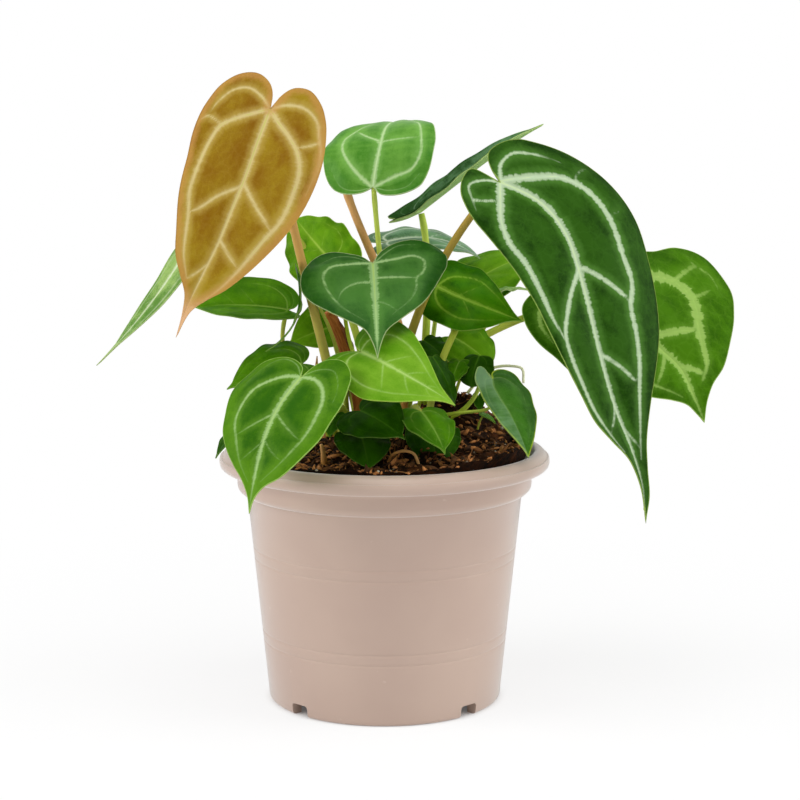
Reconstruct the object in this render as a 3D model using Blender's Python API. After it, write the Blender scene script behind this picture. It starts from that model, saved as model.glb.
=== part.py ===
"""Potted anthurium: a bush of heart-shaped leaves on long stalks, in a taupe plastic pot.

The origin is on the surface the pot stands on, under the middle of the plant's outline.
+Z is up and -Y is the front. Places below are millimetres from the foot of the pot's axis,
and place() turns them into metres from the origin.
"""
import math
from dataclasses import dataclass

import bmesh
import bpy
from mathutils import Matrix, Vector

# Where the pot's axis stands from the origin, in millimetres
POT_X = -11.93
POT_Y = 7.68

# Driving dimensions, in millimetres
RIM_DIAMETER = 120.0
POT_HEIGHT = 92.0
FOOT_RADIUS = 42.3
WALL_TAPER = 0.100
WALL_THICKNESS = 1.7
FLOOR_UNDERSIDE = 6.0
FLOOR_THICKNESS = 1.8
FOOT_RING_WIDTH = 4.0
COLLAR_HEIGHT = 75.5
COLLAR_RADIUS = 53.4
RIM_UNDERSIDE = 84.5
GROOVE_HEIGHTS = (22.4, 26.2, 53.0, 56.9)
GROOVE_DEPTH = 0.3
GROOVE_HALF_WIDTH = 0.5
NOTCH_WIDTH = 7.7
NOTCH_HEIGHT = 4.5
NOTCH_REACH = 8.0
NOTCH_CORNER = 1.2
NOTCH_ANGLES = (45.0, 135.0, 225.0, 315.0)
DRAIN_HOLE_RADIUS = 3.2
DRAIN_HOLE_CIRCLE = 27.0
SOIL_EDGE_HEIGHT = 86.5
SOIL_MOUND = 17.0
SOIL_MOUND_SPREAD = 27.0
SOIL_BUMP = 0.7
CROWN_X = 14.0
CROWN_Y = 6.0
CLEARANCE = 0.3
BLADE_THICKNESS = 0.6

POT_SEGMENTS = 48
SOIL_SEGMENTS = 36
SOIL_RINGS = 9
STALK_SIDES = 6
STEM_SIDES = 8
STALK_STEPS = 9
# Steps round each arc of a blade's margin, and columns across each half: fine, medium, coarse
BLADE_GRADES = (((3, 5, 6, 2), 3), ((2, 4, 5, 1), 2), ((2, 3, 4, 1), 1))
RIB_RAKE = 0.6         # how far a rib runs towards the tip, of its reach across

# Colours as linear RGB
POT_TAUPE = (0.52, 0.40, 0.34)
SOIL_BROWN = (0.045, 0.022, 0.012)
BRONZE = (0.38, 0.20, 0.02)
DARK_GREEN = (0.015, 0.075, 0.010)
MID_GREEN = (0.045, 0.17, 0.012)
LIME_GREEN = (0.16, 0.36, 0.03)
BLUE_GREEN = (0.06, 0.14, 0.07)
OLIVE = (0.22, 0.26, 0.04)
PALE_LIME = (0.42, 0.52, 0.10)
PINK_BROWN = (0.36, 0.17, 0.06)
RED_BROWN = (0.12, 0.035, 0.012)
STRAW = (0.55, 0.42, 0.20)


@dataclass
class Leaf:
    """One leaf: a heart-shaped blade hung between its base and its tip, and its stalk."""
    name: str
    base: tuple            # where the stalk meets the blade
    tip: tuple             # the blade's drip tip
    width: float
    foot: tuple            # the stalk's foot, x and y on the soil or a full place
    colour: tuple = MID_GREEN
    stalk_colour: tuple = OLIVE
    roll: float = 0.0      # degrees, the blade's left edge raised about its chord
    arch: float = 0.06     # rise of the midrib above its chord, of the length
    bow: float = 0.0       # bend of the midrib to the left, of the length
    early: float = 0.0     # how far both bends crowd towards the base, -1 to 1
    twist: float = 0.0     # degrees from base to tip
    fold: float = 10.0     # degrees that each half is raised at the midrib
    cup: float = 25.0      # degrees that each half curls down towards its margin
    lobe: float = 0.20     # length of the lobes behind the base, of the length
    spread: float = 0.25   # how far each lobe's back end lies from the midrib, of the width
    widest: float = 0.15   # where the blade is widest, of the length
    tail: float = 0.10     # narrow drip tip, of the length
    belly: float = 0.35    # width kept by the sides just before the tail, of the half width
    skew: float = 0.0      # share of the width moved to the left half
    lobe_skew: float = 0.0  # share of the lobe's length moved to the left half
    lobe_lift: float = 0.0  # rise of the lobes' back ends, of the lobe's length
    stalk: float = 2.4     # diameter of the stalk at its top
    lean: tuple = (0, 0, 0)   # pull on the stalk's lower part
    sway: tuple = (0, 0, 0)   # pull on the stalk's upper part
    grade: int = 1         # 0 fine, 1 medium, 2 coarse
    joined: bool = False   # blade and stalk are one piece


def mm(*values):
    """Vector in metres from millimetres."""
    return Vector([value * 0.001 for value in values])


def place(x, y, z):
    """Place in the part's frame, in metres, from millimetres about the pot's axis."""
    return mm(POT_X + x, POT_Y + y, z)


# ---------------------------------------------------------------- leaves

LEAVES = [
    Leaf("leaf_bronze", (-39, -22, 214), (-70, -48, 138), 46, (-20.5, -4, 143), roll=-40,
         arch=0.05, lobe=0.12, spread=0.2, belly=0.5, tail=0.14, skew=0.1, stalk=2.6,
         lean=(-8, -5, 0), colour=BRONZE, stalk_colour=PINK_BROWN, grade=0),
    Leaf("leaf_left_back", (-67, 12, 171), (-104, 0, 122), 14, (-14, 12), roll=-30, arch=-0.05,
         sway=(0, -4, 2), colour=LIME_GREEN),
    Leaf("leaf_top", (-4, 2, 186), (6, 40, 202), 41, (2, 4), arch=0.22, cup=12, lobe=0.10,
         lobe_lift=0.3, widest=0.3, belly=0.7, sway=(-3, 0, 0), stalk_colour=PALE_LIME, grade=0),
    Leaf("leaf_upper_right", (13, 22, 176), (58, 22, 208), 40, (14, 12), roll=-2, fold=18,
         cup=14, early=-0.5, lobe_lift=0.35, colour=BLUE_GREEN, stalk_colour=PALE_LIME, grade=0),
    Leaf("leaf_large_right", (40, -25, 189), (88, -62, 77), 52, (4, -3), roll=25, bow=0.11,
         early=0.9, arch=0.04, lobe=0.065, lobe_skew=-0.5, widest=0.19, tail=0.2, belly=0.6,
         skew=0.06, stalk=2.8, sway=(-7, 14, 6), colour=DARK_GREEN, grade=0),
    Leaf("leaf_right_back", (74, 25, 147), (116, 0, 101), 66, (26, 10), roll=44, bow=0.12,
         early=-0.1, lobe=0.15, lobe_skew=-0.7, widest=0.38, belly=0.4, spread=0.25,
         sway=(-6, 0, 16), grade=0),
    Leaf("leaf_heart", (-4, -14, 160), (-2, -42, 130), 53, (-1, -8), spread=0.27, belly=0.25,
         lobe_skew=0.35, colour=DARK_GREEN, grade=0),
    Leaf("leaf_bright_left", (-28, 6, 165), (-12, 8, 148), 28, (-5, 10), roll=70,
         stalk_colour=PALE_LIME),
    Leaf("leaf_back_arched", (1, 34, 164), (36, 44, 157), 26, (4, 18), arch=0.12, roll=16,
         colour=BLUE_GREEN),
    Leaf("leaf_mid_right", (19, 6, 150), (50, -2, 138), 27, (15, 7), roll=50),
    Leaf("leaf_lime_back", (28, 36, 145), (55, 50, 160), 24, (19, 18), roll=20,
         colour=LIME_GREEN),
    Leaf("leaf_narrow_back", (42, 24, 147), (57, 26, 146), 9, (25, 18), grade=2),
    Leaf("leaf_left", (-35, 0, 142), (-68, 0, 143), 27, (-17, 4), roll=-30, fold=25,
         skew=-0.1),
    Leaf("leaf_left_slender", (-29, -12, 153), (-44, -22, 127), 11, (-13, -3), roll=43,
         arch=-0.17, colour=DARK_GREEN),
    Leaf("leaf_pale_left", (-20, 24, 139), (-36, 18, 135), 14, (-10, 11), roll=-30,
         colour=LIME_GREEN),
    Leaf("leaf_left_low", (-28, -15, 123), (-55, -25, 117), 30, (-15, 1), roll=-30),
    Leaf("leaf_front_left", (-28, -45, 124), (-44, -75, 83), 44, (-11, -9), bow=-0.04,
         belly=0.45, skew=0.08, grade=0),
    Leaf("leaf_lime_front", (-8, -32, 131), (24, -62, 117), 41, (-3, -12), roll=35,
         belly=0.45, colour=LIME_GREEN, grade=0),
    Leaf("leaf_low_dark", (-12, -30, 110), (6, -45, 103), 24, (-5, -17), roll=30, belly=0.5,
         colour=DARK_GREEN, joined=True),
    Leaf("leaf_low_under", (-9, -28, 101), (-5, -43, 91), 22, (-8, -20), belly=0.5,
         joined=True),
    Leaf("leaf_low_small", (13, -32, 110), (21, -48, 98), 18, (10, -10), belly=0.5,
         lean=(0, -3, 4), sway=(-1, 7, 5), joined=True),
    Leaf("leaf_low_round", (17, -18, 101.5), (20, -32, 94), 21, (14, -12), belly=0.6,
         colour=DARK_GREEN, joined=True),
    Leaf("leaf_right_slender", (17, -15, 128), (25, -20, 111), 12, (12, -7),
         colour=DARK_GREEN),
    Leaf("leaf_right_low", (24, 10, 130), (40, 5, 123), 18, (21, 10), roll=30, belly=0.5),
    Leaf("leaf_right_inner", (17, -4, 133), (24, -10, 126), 10, (9, 0), roll=30,
         colour=DARK_GREEN, grade=2, joined=True),
    Leaf("leaf_right_cupped", (35, -6, 121), (29, -12, 114), 10, (28, 0), fold=30,
         colour=DARK_GREEN, grade=2, joined=True),
    Leaf("leaf_right_tiny", (27, -4, 124), (24, -9, 116), 9, (22, 4), grade=2, joined=True),
    Leaf("leaf_front_right", (38, -20, 120), (50, -38, 95), 26, (20, -9),
         lean=(12, -6, 2), colour=BLUE_GREEN),
    Leaf("leaf_rim_left", (-49, -20, 105), (-59, -28, 93), 10, (-20, 11), grade=2),
    Leaf("leaf_low_left", (-17, -27, 108), (-19, -33, 101), 8, (-13, -13),
         colour=DARK_GREEN, grade=2, joined=True),
    Leaf("leaf_young", (-15, 12, 189), (-17, 26, 193), 8, (-2, 12), fold=60, cup=5, stalk=2.6,
         lean=(4, 0, 0), colour=BRONZE, stalk_colour=PINK_BROWN, grade=2),
]
# The stout brown stem that carries the bronze leaf's stalk, and the papery sheath beside it
STEM_FOOT = (-7, -5)
STEM_TOP = (-20, -4, 142)
STEM_RADII = (3.2, 2.0)
STEM_RISE = (-1, 0, 16)
STEM_BEND = (3, 0, 0)
SHEATH = Leaf("sheath", (-7.6, -2.5, 126), (-14.5, -3.0, 141), 5, (), roll=60, lobe=0.02,
              widest=0.3, fold=0, cup=60, belly=0.5, colour=RED_BROWN, grade=2)


def cubic(start, pull, push, end, t):
    """Point at t of a cubic Bezier curve."""
    back = 1.0 - t
    return (start * back**3 + pull * (3 * back**2 * t)
            + push * (3 * back * t**2) + end * t**3)


def blade_margin(leaf, steps, hand):
    """Margin of one half, from the notch round the lobe to the tip, flat, as (along, across)."""
    length = (Vector(leaf.tip) - Vector(leaf.base)).length
    half = leaf.width / 2
    lobe = leaf.lobe * length * (1 + hand * leaf.lobe_skew)
    lobe_side = leaf.spread * leaf.width
    widest = leaf.widest * length
    tail = length * (1 - leaf.tail)
    neck = 0.05 * leaf.width
    arcs = (
        ((0, 0), (-0.35 * lobe, 0.02 * leaf.width),
         (-lobe, 0.40 * lobe_side), (-lobe, lobe_side)),
        ((-lobe, lobe_side), (-lobe, lobe_side + 0.6 * (half - lobe_side)),
         (widest - 0.55 * (widest + lobe), half), (widest, half)),
        ((widest, half), (widest + 0.42 * (tail - widest), half),
         (tail - 0.15 * (tail - widest), leaf.belly * half), (tail, neck)),
        ((tail, neck), (tail + 0.3 * (length - tail), 0.55 * neck),
         (tail + 0.7 * (length - tail), 0.3 * neck), (length, 0.0)),
    )
    points = []
    for arc, count in zip(arcs, steps):
        corners = [Vector(corner) for corner in arc]
        for step in range(count):
            points.append(cubic(*corners, (step + 1) / count))
    return points


def blade_axes(leaf):
    """Chord, left and upper directions of a blade."""
    chord = (Vector(leaf.tip) - Vector(leaf.base)).normalized()
    upper = (Vector((0, 0, 1)) - chord * chord.z).normalized()
    left = upper.cross(chord)
    turn = math.radians(leaf.roll)
    return (chord, left * math.cos(turn) + upper * math.sin(turn),
            upper * math.cos(turn) - left * math.sin(turn))


def blade_point(leaf, along, across):
    """Point in space of the flat point (along, across) of a blade, in millimetres."""
    length = (Vector(leaf.tip) - Vector(leaf.base)).length
    chord, left, upper = blade_axes(leaf)
    share = min(max(along / length, 0.0), 1.0)
    crowd = 1 + leaf.early * (1 - 2 * share)
    rise = 4 * share * (1 - share) * crowd * length
    slope = 4 * (1 - 2 * share) * crowd - 8 * leaf.early * share * (1 - share)
    middle = (Vector(leaf.base) + chord * (share * length)
              + upper * (leaf.arch * rise) + left * (leaf.bow * rise))
    forward = (chord + upper * (leaf.arch * slope) + left * (leaf.bow * slope)).normalized()
    side = upper.cross(forward).normalized()
    normal = forward.cross(side)
    turn = math.radians(leaf.twist) * share
    side, normal = (side * math.cos(turn) + normal * math.sin(turn),
                    normal * math.cos(turn) - side * math.sin(turn))
    half = leaf.width / 2
    wide = abs(across) * (1 + math.copysign(leaf.skew, across))
    curl = math.radians(leaf.cup) + 1e-6
    fold = math.radians(leaf.fold)
    angle = curl * wide / half - fold
    out = half / curl * (math.sin(angle) + math.sin(fold))
    up = half / curl * (math.cos(angle) - math.cos(fold))
    behind = min(along, 0.0)
    lobe = leaf.lobe * length
    up += leaf.lobe_lift * lobe * (behind / lobe)**2
    return middle + forward * behind + side * math.copysign(out, across) + normal * up


def blade_sheet(leaf, steps, columns):
    """Vertices and faces of the blade's middle surface, each half a fan of ribs."""
    midrib = {0.0: 0}
    points = [blade_point(leaf, 0.0, 0.0)]
    faces = []
    roots = [max(0.0, spot.x - RIB_RAKE * spot.y) for spot in blade_margin(leaf, steps, 0)]
    for root in roots:
        if root not in midrib:
            midrib[root] = len(points)
            points.append(blade_point(leaf, root, 0.0))
    tip = midrib[roots[-1]]
    for hand in (1, -1):
        margin = blade_margin(leaf, steps, hand)
        previous = None
        for spot, root in zip(margin, roots):
            rib = [midrib[root]]
            if midrib[root] != tip:
                for column in range(1, columns + 1):
                    share = column / columns
                    along = root + (spot.x - root) * share
                    points.append(blade_point(leaf, along, hand * spot.y * share))
                    rib.append(len(points) - 1)
            else:
                rib += [tip] * columns
            if previous:
                for column in range(columns):
                    corners = [previous[column], previous[column + 1],
                               rib[column + 1], rib[column]]
                    corners = list(dict.fromkeys(corners))
                    if hand > 0:
                        corners.reverse()
                    if len(corners) > 2:
                        faces.append(corners)
            previous = rib
    return points, faces


def add_object(name, points, faces, material):
    """Mesh object from points in millimetres."""
    mesh = bpy.data.meshes.new(name)
    mesh.from_pydata([place(*point) for point in points], [], faces)
    mesh.materials.append(material)
    mesh.validate()
    mesh.shade_smooth()
    item = bpy.data.objects.new(name, mesh)
    bpy.context.scene.collection.objects.link(item)
    return item


def make_material(name, colour, roughness):
    """Principled material of one colour."""
    material = bpy.data.materials.new(name)
    material.use_nodes = True
    shader = material.node_tree.nodes["Principled BSDF"]
    shader.inputs["Base Color"].default_value = (*colour, 1.0)
    shader.inputs["Roughness"].default_value = roughness
    shader.inputs["Metallic"].default_value = 0.0
    return material


def hide(item):
    """Keep an object that a Boolean modifier works with out of the model."""
    item.hide_render = True
    item.display_type = "WIRE"


def make_blade(leaf):
    """Blade as a thin slab with its middle on the sheet, and its stalk if they are joined."""
    steps, columns = BLADE_GRADES[leaf.grade]
    points, faces = blade_sheet(leaf, steps, columns)
    material = make_material(leaf.name, leaf.colour, 0.4)
    blade = add_object(leaf.name, points, faces, material)
    slab = blade.modifiers.new("thickness", "SOLIDIFY")
    slab.thickness = BLADE_THICKNESS * 0.001
    slab.offset = 0.0
    if leaf.joined:
        stalk = add_object(leaf.name + "_stalk", *stalk_shape(leaf), material)
        hide(stalk)
        union = blade.modifiers.new("stalk", "BOOLEAN")
        union.operation = "UNION"
        union.object = stalk
    return blade


# ---------------------------------------------------------------- soil

def soil_height(x, y):
    """Height of the soil's surface, mounded at the crown."""
    spread = (x - CROWN_X)**2 + (y - CROWN_Y)**2
    mound = SOIL_MOUND * math.exp(-spread / (2 * SOIL_MOUND_SPREAD**2))
    bumps = math.sin(x / 4.1 + 0.7) * math.sin(y / 3.7 + 0.3) + 0.5 * math.sin((x + y) / 2.9)
    return SOIL_EDGE_HEIGHT + mound + SOIL_BUMP * bumps


def make_soil():
    """Root ball that fills the pot, with a bumpy, mounded top."""
    floor = FLOOR_UNDERSIDE + FLOOR_THICKNESS + CLEARANCE
    points = [(0.0, 0.0, floor), (0.0, 0.0, soil_height(0.0, 0.0))]
    rings = []

    def ring(radius, height=None):
        indices = []
        for step in range(SOIL_SEGMENTS):
            angle = math.tau * step / SOIL_SEGMENTS
            x = radius * math.cos(angle)
            y = radius * math.sin(angle)
            indices.append(len(points))
            points.append((x, y, soil_height(x, y) if height is None else height))
        rings.append(indices)

    inner_foot = wall_radius(floor) - WALL_THICKNESS - CLEARANCE
    inner_top = wall_radius(SOIL_EDGE_HEIGHT) - WALL_THICKNESS - CLEARANCE
    ring(inner_foot, floor)
    ring(inner_top - 0.5, SOIL_EDGE_HEIGHT - 5)
    for step in range(SOIL_RINGS, 0, -1):
        ring((inner_top - 0.5) * step / SOIL_RINGS)
    faces = []
    count = SOIL_SEGMENTS
    for lower, upper in zip(rings, rings[1:]):
        for step in range(count):
            after = (step + 1) % count
            faces.append((lower[step], lower[after], upper[after], upper[step]))
    for step in range(count):
        after = (step + 1) % count
        faces.append((0, rings[0][after], rings[0][step]))
        faces.append((1, rings[-1][step], rings[-1][after]))
    return add_object("soil", points, faces, make_material("soil", SOIL_BROWN, 0.95))


# ---------------------------------------------------------------- pot

def wall_radius(height):
    """Outer radius of the tapered wall."""
    return FOOT_RADIUS + WALL_TAPER * height


def pot_profile():
    """Closed half section of the pot, as (radius, height), outside from foot to rim, then inside."""
    outside = [(FOOT_RADIUS - FOOT_RING_WIDTH, 0.0), (FOOT_RADIUS - 1.0, 0.0),
               (wall_radius(1.0), 1.0)]
    for height in GROOVE_HEIGHTS:
        for offset, depth in ((-GROOVE_HALF_WIDTH, 0.0), (0.0, GROOVE_DEPTH),
                              (GROOVE_HALF_WIDTH, 0.0)):
            outside.append((wall_radius(height + offset) - depth, height + offset))
    rim = RIM_DIAMETER / 2
    outside += [(wall_radius(COLLAR_HEIGHT), COLLAR_HEIGHT),
                (COLLAR_RADIUS - 1.0, COLLAR_HEIGHT + 0.2),
                (COLLAR_RADIUS, COLLAR_HEIGHT + 1.4),
                (COLLAR_RADIUS + 0.5, RIM_UNDERSIDE - 0.6),
                (rim - 4.0, RIM_UNDERSIDE),
                (rim - 1.3, RIM_UNDERSIDE + 0.9),
                (rim, RIM_UNDERSIDE + 3.4),
                (rim - 0.6, POT_HEIGHT - 2.4),
                (rim - 2.4, POT_HEIGHT - 0.6),
                (rim - 4.2, POT_HEIGHT),
                (rim - 6.0, POT_HEIGHT - 1.0)]
    inside_top = wall_radius(RIM_UNDERSIDE) - WALL_THICKNESS
    floor_top = FLOOR_UNDERSIDE + FLOOR_THICKNESS
    inside = [(inside_top, RIM_UNDERSIDE),
              (wall_radius(floor_top) - WALL_THICKNESS, floor_top),
              (0.0, floor_top), (0.0, FLOOR_UNDERSIDE),
              (FOOT_RADIUS - FOOT_RING_WIDTH, FLOOR_UNDERSIDE)]
    return outside + inside


def turned(name, profile, segments, material):
    """Solid of revolution about the pot's axis, from a closed profile."""
    points = []
    rings = []
    for radius, height in profile:
        if radius == 0.0:
            rings.append([len(points)] * segments)
            points.append((0.0, 0.0, height))
            continue
        rings.append(list(range(len(points), len(points) + segments)))
        for step in range(segments):
            angle = math.tau * (step + 0.5) / segments
            points.append((radius * math.cos(angle), radius * math.sin(angle), height))
    faces = []
    for lower, upper in zip(rings, rings[1:] + rings[:1]):
        for step in range(segments):
            after = (step + 1) % segments
            corners = dict.fromkeys((lower[step], lower[after], upper[after], upper[step]))
            if len(corners) > 2:
                faces.append(list(corners))
    return add_object(name, points, faces, material)


def make_cutter(name, body):
    """Hidden object that a Boolean modifier cuts with."""
    mesh = bpy.data.meshes.new(name)
    body.to_mesh(mesh)
    body.free()
    cutter = bpy.data.objects.new(name, mesh)
    hide(cutter)
    bpy.context.scene.collection.objects.link(cutter)
    return cutter


def notch_cutters():
    """Blocks with rounded top corners that cut the drainage notches through the foot ring."""
    body = bmesh.new()
    middle = FOOT_RADIUS - FOOT_RING_WIDTH / 2
    for angle in NOTCH_ANGLES:
        made = bmesh.ops.create_cube(body, size=1.0)["verts"]
        bmesh.ops.scale(body, verts=made, vec=mm(NOTCH_REACH, NOTCH_WIDTH, 2 * NOTCH_HEIGHT))
        edges = [edge for edge in {edge for vert in made for edge in vert.link_edges}
                 if all(end.co.z > 0 for end in edge.verts)
                 and edge.verts[0].co.y == edge.verts[1].co.y]
        rounded = bmesh.ops.bevel(body, geom=edges, offset=NOTCH_CORNER * 0.001, segments=2,
                                  profile=0.5, affect="EDGES")["verts"]
        made = list({*[vert for vert in made if vert.is_valid], *rounded})
        turn = math.radians(angle)
        bmesh.ops.rotate(body, verts=made, cent=(0, 0, 0), matrix=Matrix.Rotation(turn, 3, "Z"))
        bmesh.ops.translate(body, verts=made,
                            vec=place(middle * math.cos(turn), middle * math.sin(turn), 0))
    return make_cutter("notch_cutters", body)


def drain_cutters():
    """Round posts that cut the drain holes through the raised floor."""
    body = bmesh.new()
    radius = DRAIN_HOLE_RADIUS * 0.001
    for angle in NOTCH_ANGLES:
        turn = math.radians(angle)
        made = bmesh.ops.create_cone(body, cap_ends=True, segments=12, radius1=radius,
                                     radius2=radius, depth=0.008)["verts"]
        centre = place(DRAIN_HOLE_CIRCLE * math.cos(turn), DRAIN_HOLE_CIRCLE * math.sin(turn),
                       FLOOR_UNDERSIDE + FLOOR_THICKNESS / 2)
        bmesh.ops.translate(body, verts=made, vec=centre)
    return make_cutter("drain_cutters", body)


def make_pot():
    """Pot with its rolled rim, collar, grooves, raised floor and notched foot ring."""
    pot = turned("pot", pot_profile(), POT_SEGMENTS, make_material("pot", POT_TAUPE, 0.5))
    for cutter in (notch_cutters(), drain_cutters()):
        cut = pot.modifiers.new(cutter.name, "BOOLEAN")
        cut.operation = "DIFFERENCE"
        cut.object = cutter
    return pot


# ---------------------------------------------------------------- stalks

def stalk_foot(leaf):
    """Middle of a stalk's lower end."""
    if len(leaf.foot) == 3:
        return Vector(leaf.foot)
    return Vector((*leaf.foot, soil_height(*leaf.foot) + CLEARANCE + 0.25 * leaf.stalk))


def stalk_route(leaf):
    """Points along a stalk from its foot to the blade: into a joined one, just under another."""
    foot = stalk_foot(leaf)
    base = Vector(leaf.base)
    forward = (blade_point(leaf, 0.5, 0.0) - base).normalized()
    side = (blade_point(leaf, 0.0, 0.5) - blade_point(leaf, 0.0, -0.5)).normalized()
    normal = forward.cross(side)
    arrive = ((base - foot).normalized() + 0.5 * normal).normalized()
    slant = math.sqrt(max(0.0, 1 - arrive.dot(normal)**2))
    gap = 0.0 if leaf.joined else BLADE_THICKNESS / 2 + CLEARANCE + leaf.stalk / 2 * slant
    top = base - normal * gap
    span = (top - foot).length
    pull = foot + Vector((0, 0, 0.35 * span)) + Vector(leaf.lean)
    push = top - arrive * (0.3 * span) + Vector(leaf.sway)
    return [cubic(foot, pull, push, top, step / STALK_STEPS) for step in range(STALK_STEPS + 1)]


def tube(route, radii, sides):
    """Vertices and faces of a capped tube along a route, with a radius for each of its points."""
    points = []
    rings = []
    side = Vector((1, 0, 0))
    for index, middle in enumerate(route):
        before = route[max(index - 1, 0)]
        after = route[min(index + 1, len(route) - 1)]
        along = (after - before).normalized()
        side = (side - along * side.dot(along)).normalized()
        across = along.cross(side)
        rings.append(list(range(len(points), len(points) + sides)))
        for step in range(sides):
            angle = math.tau * step / sides
            points.append(middle + (side * math.cos(angle) + across * math.sin(angle))
                          * radii[index])
    faces = [list(reversed(rings[0])), rings[-1]]
    for lower, upper in zip(rings, rings[1:]):
        for step in range(sides):
            after = (step + 1) % sides
            faces.append((lower[step], lower[after], upper[after], upper[step]))
    return points, faces


def stalk_shape(leaf):
    """Stalk of a leaf, a little thicker at its foot."""
    top = leaf.stalk / 2
    radii = [top * (1.35 - 0.35 * step / STALK_STEPS) for step in range(STALK_STEPS + 1)]
    return tube(stalk_route(leaf), radii, STALK_SIDES)


def make_stalks():
    """Stalk of each leaf that isn't joined to it, in its own node."""
    for leaf in LEAVES:
        if not leaf.joined:
            name = leaf.name.replace("leaf_", "stalk_")
            add_object(name, *stalk_shape(leaf), make_material(name, leaf.stalk_colour, 0.45))


def make_stem():
    """Stout brown stem, from the soil up to the bronze leaf's stalk."""
    foot = Vector((*STEM_FOOT, soil_height(*STEM_FOOT) + CLEARANCE + 0.8))
    top = Vector(STEM_TOP)
    pull = foot + Vector(STEM_RISE)
    push = top - (Vector(LEAVES[0].base) - top).normalized() * 12 + Vector(STEM_BEND)
    route = [cubic(foot, pull, push, top, step / STALK_STEPS) for step in range(STALK_STEPS + 1)]
    thick, thin = STEM_RADII
    radii = [thick + (thin - thick) * step / STALK_STEPS for step in range(STALK_STEPS + 1)]
    points, faces = tube(route, radii, STEM_SIDES)
    return add_object("stem", points, faces, make_material("stem", RED_BROWN, 0.6))


def main():
    """Empty the scene, then make every piece."""
    for item in list(bpy.data.objects):
        bpy.data.objects.remove(item)
    make_pot()
    make_soil()
    make_stem()
    make_blade(SHEATH)
    for leaf in LEAVES:
        make_blade(leaf)
    make_stalks()


main()
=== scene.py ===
"""Looks of the potted anthurium: veined leaves on their stalks, potting mix with bark in it, and the pot.

Places in the tables are millimetres from the foot of the pot's axis, which comes from the solids.
+Z is up and -Y is the front.
"""
import math
import random
from dataclasses import dataclass

import bmesh
import bpy
import numpy as np
from mathutils import Matrix, Vector


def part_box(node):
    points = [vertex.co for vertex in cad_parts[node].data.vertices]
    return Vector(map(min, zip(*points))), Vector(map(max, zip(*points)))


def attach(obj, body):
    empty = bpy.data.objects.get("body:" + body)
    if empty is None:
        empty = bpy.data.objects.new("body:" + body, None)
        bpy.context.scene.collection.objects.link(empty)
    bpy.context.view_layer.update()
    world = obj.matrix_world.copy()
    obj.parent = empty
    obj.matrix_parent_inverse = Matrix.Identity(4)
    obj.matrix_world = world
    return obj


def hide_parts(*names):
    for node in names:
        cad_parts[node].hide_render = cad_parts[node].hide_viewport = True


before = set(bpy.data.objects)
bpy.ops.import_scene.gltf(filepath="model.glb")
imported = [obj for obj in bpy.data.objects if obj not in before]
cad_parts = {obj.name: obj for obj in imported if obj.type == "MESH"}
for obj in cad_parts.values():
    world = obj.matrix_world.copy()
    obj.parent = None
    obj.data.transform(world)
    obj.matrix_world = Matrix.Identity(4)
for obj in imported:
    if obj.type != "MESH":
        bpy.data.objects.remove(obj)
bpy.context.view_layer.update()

POT_LOW, POT_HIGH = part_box("pot")
POT_AXIS = np.array([(POT_LOW.x + POT_HIGH.x) / 2, (POT_LOW.y + POT_HIGH.y) / 2, POT_LOW.z])
RIM_RADIUS = (POT_HIGH.x - POT_LOW.x) * 500
POT_HEIGHT = (POT_HIGH.z - POT_LOW.z) * 1000


def tint(code):
    """Linear colour from the six digits it is written with on a screen."""
    parts = [int(code[place:place + 2], 16) / 255 for place in (0, 2, 4)]
    linear = [part / 12.92 if part <= 0.04045 else ((part + 0.055) / 1.055)**2.4 for part in parts]
    return (*linear, 1.0)


# ---------------------------------------------------------------- node trees

def shader_maths(operation, swapped=False):
    """Method of Value that joins it to a number or to another value with a Math node."""
    def join(self, other):
        first, second = (other, self) if swapped else (self, other)
        return self.nodes.node("ShaderNodeMath", {"operation": operation}, {0: first, 1: second})
    return join


class Value:
    """A socket in a node tree, so that shader maths is written as Python."""

    def __init__(self, nodes, socket):
        self.nodes = nodes
        self.socket = socket

    __add__ = shader_maths("ADD")
    __radd__ = shader_maths("ADD", swapped=True)
    __sub__ = shader_maths("SUBTRACT")
    __rsub__ = shader_maths("SUBTRACT", swapped=True)
    __mul__ = shader_maths("MULTIPLY")
    __rmul__ = shader_maths("MULTIPLY", swapped=True)


class Nodes:
    """A node tree being filled."""

    def __init__(self, tree):
        self.tree = tree

    def node(self, kind, settings=None, sockets=None, output=0):
        """A node of a kind: its settings, then the values or links of its sockets."""
        made = self.tree.nodes.new(kind)
        for name, value in (settings or {}).items():
            setattr(made, name, value)
        for name, value in (sockets or {}).items():
            self.put(made.inputs[name], value)
        return Value(self, made.outputs[output])

    def put(self, socket, value):
        """Link or set one socket."""
        if isinstance(value, Value):
            self.tree.links.new(value.socket, socket)
        else:
            socket.default_value = value

    def blend(self, share, first, second):
        """Mix of two shaders."""
        return self.node("ShaderNodeMixShader", None, {0: share, 1: first, 2: second})

    def seen_share(self):
        """1 for camera, glossy and transmission rays, which see the backdrop, and 0 for others."""
        share = self.node("ShaderNodeLightPath", output="Is Camera Ray")
        for kind in ("Is Glossy Ray", "Is Transmission Ray"):
            ray = self.node("ShaderNodeLightPath", output=kind)
            share = self.node("ShaderNodeMath", {"operation": "MAXIMUM"}, {0: share, 1: ray})
        return share


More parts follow.
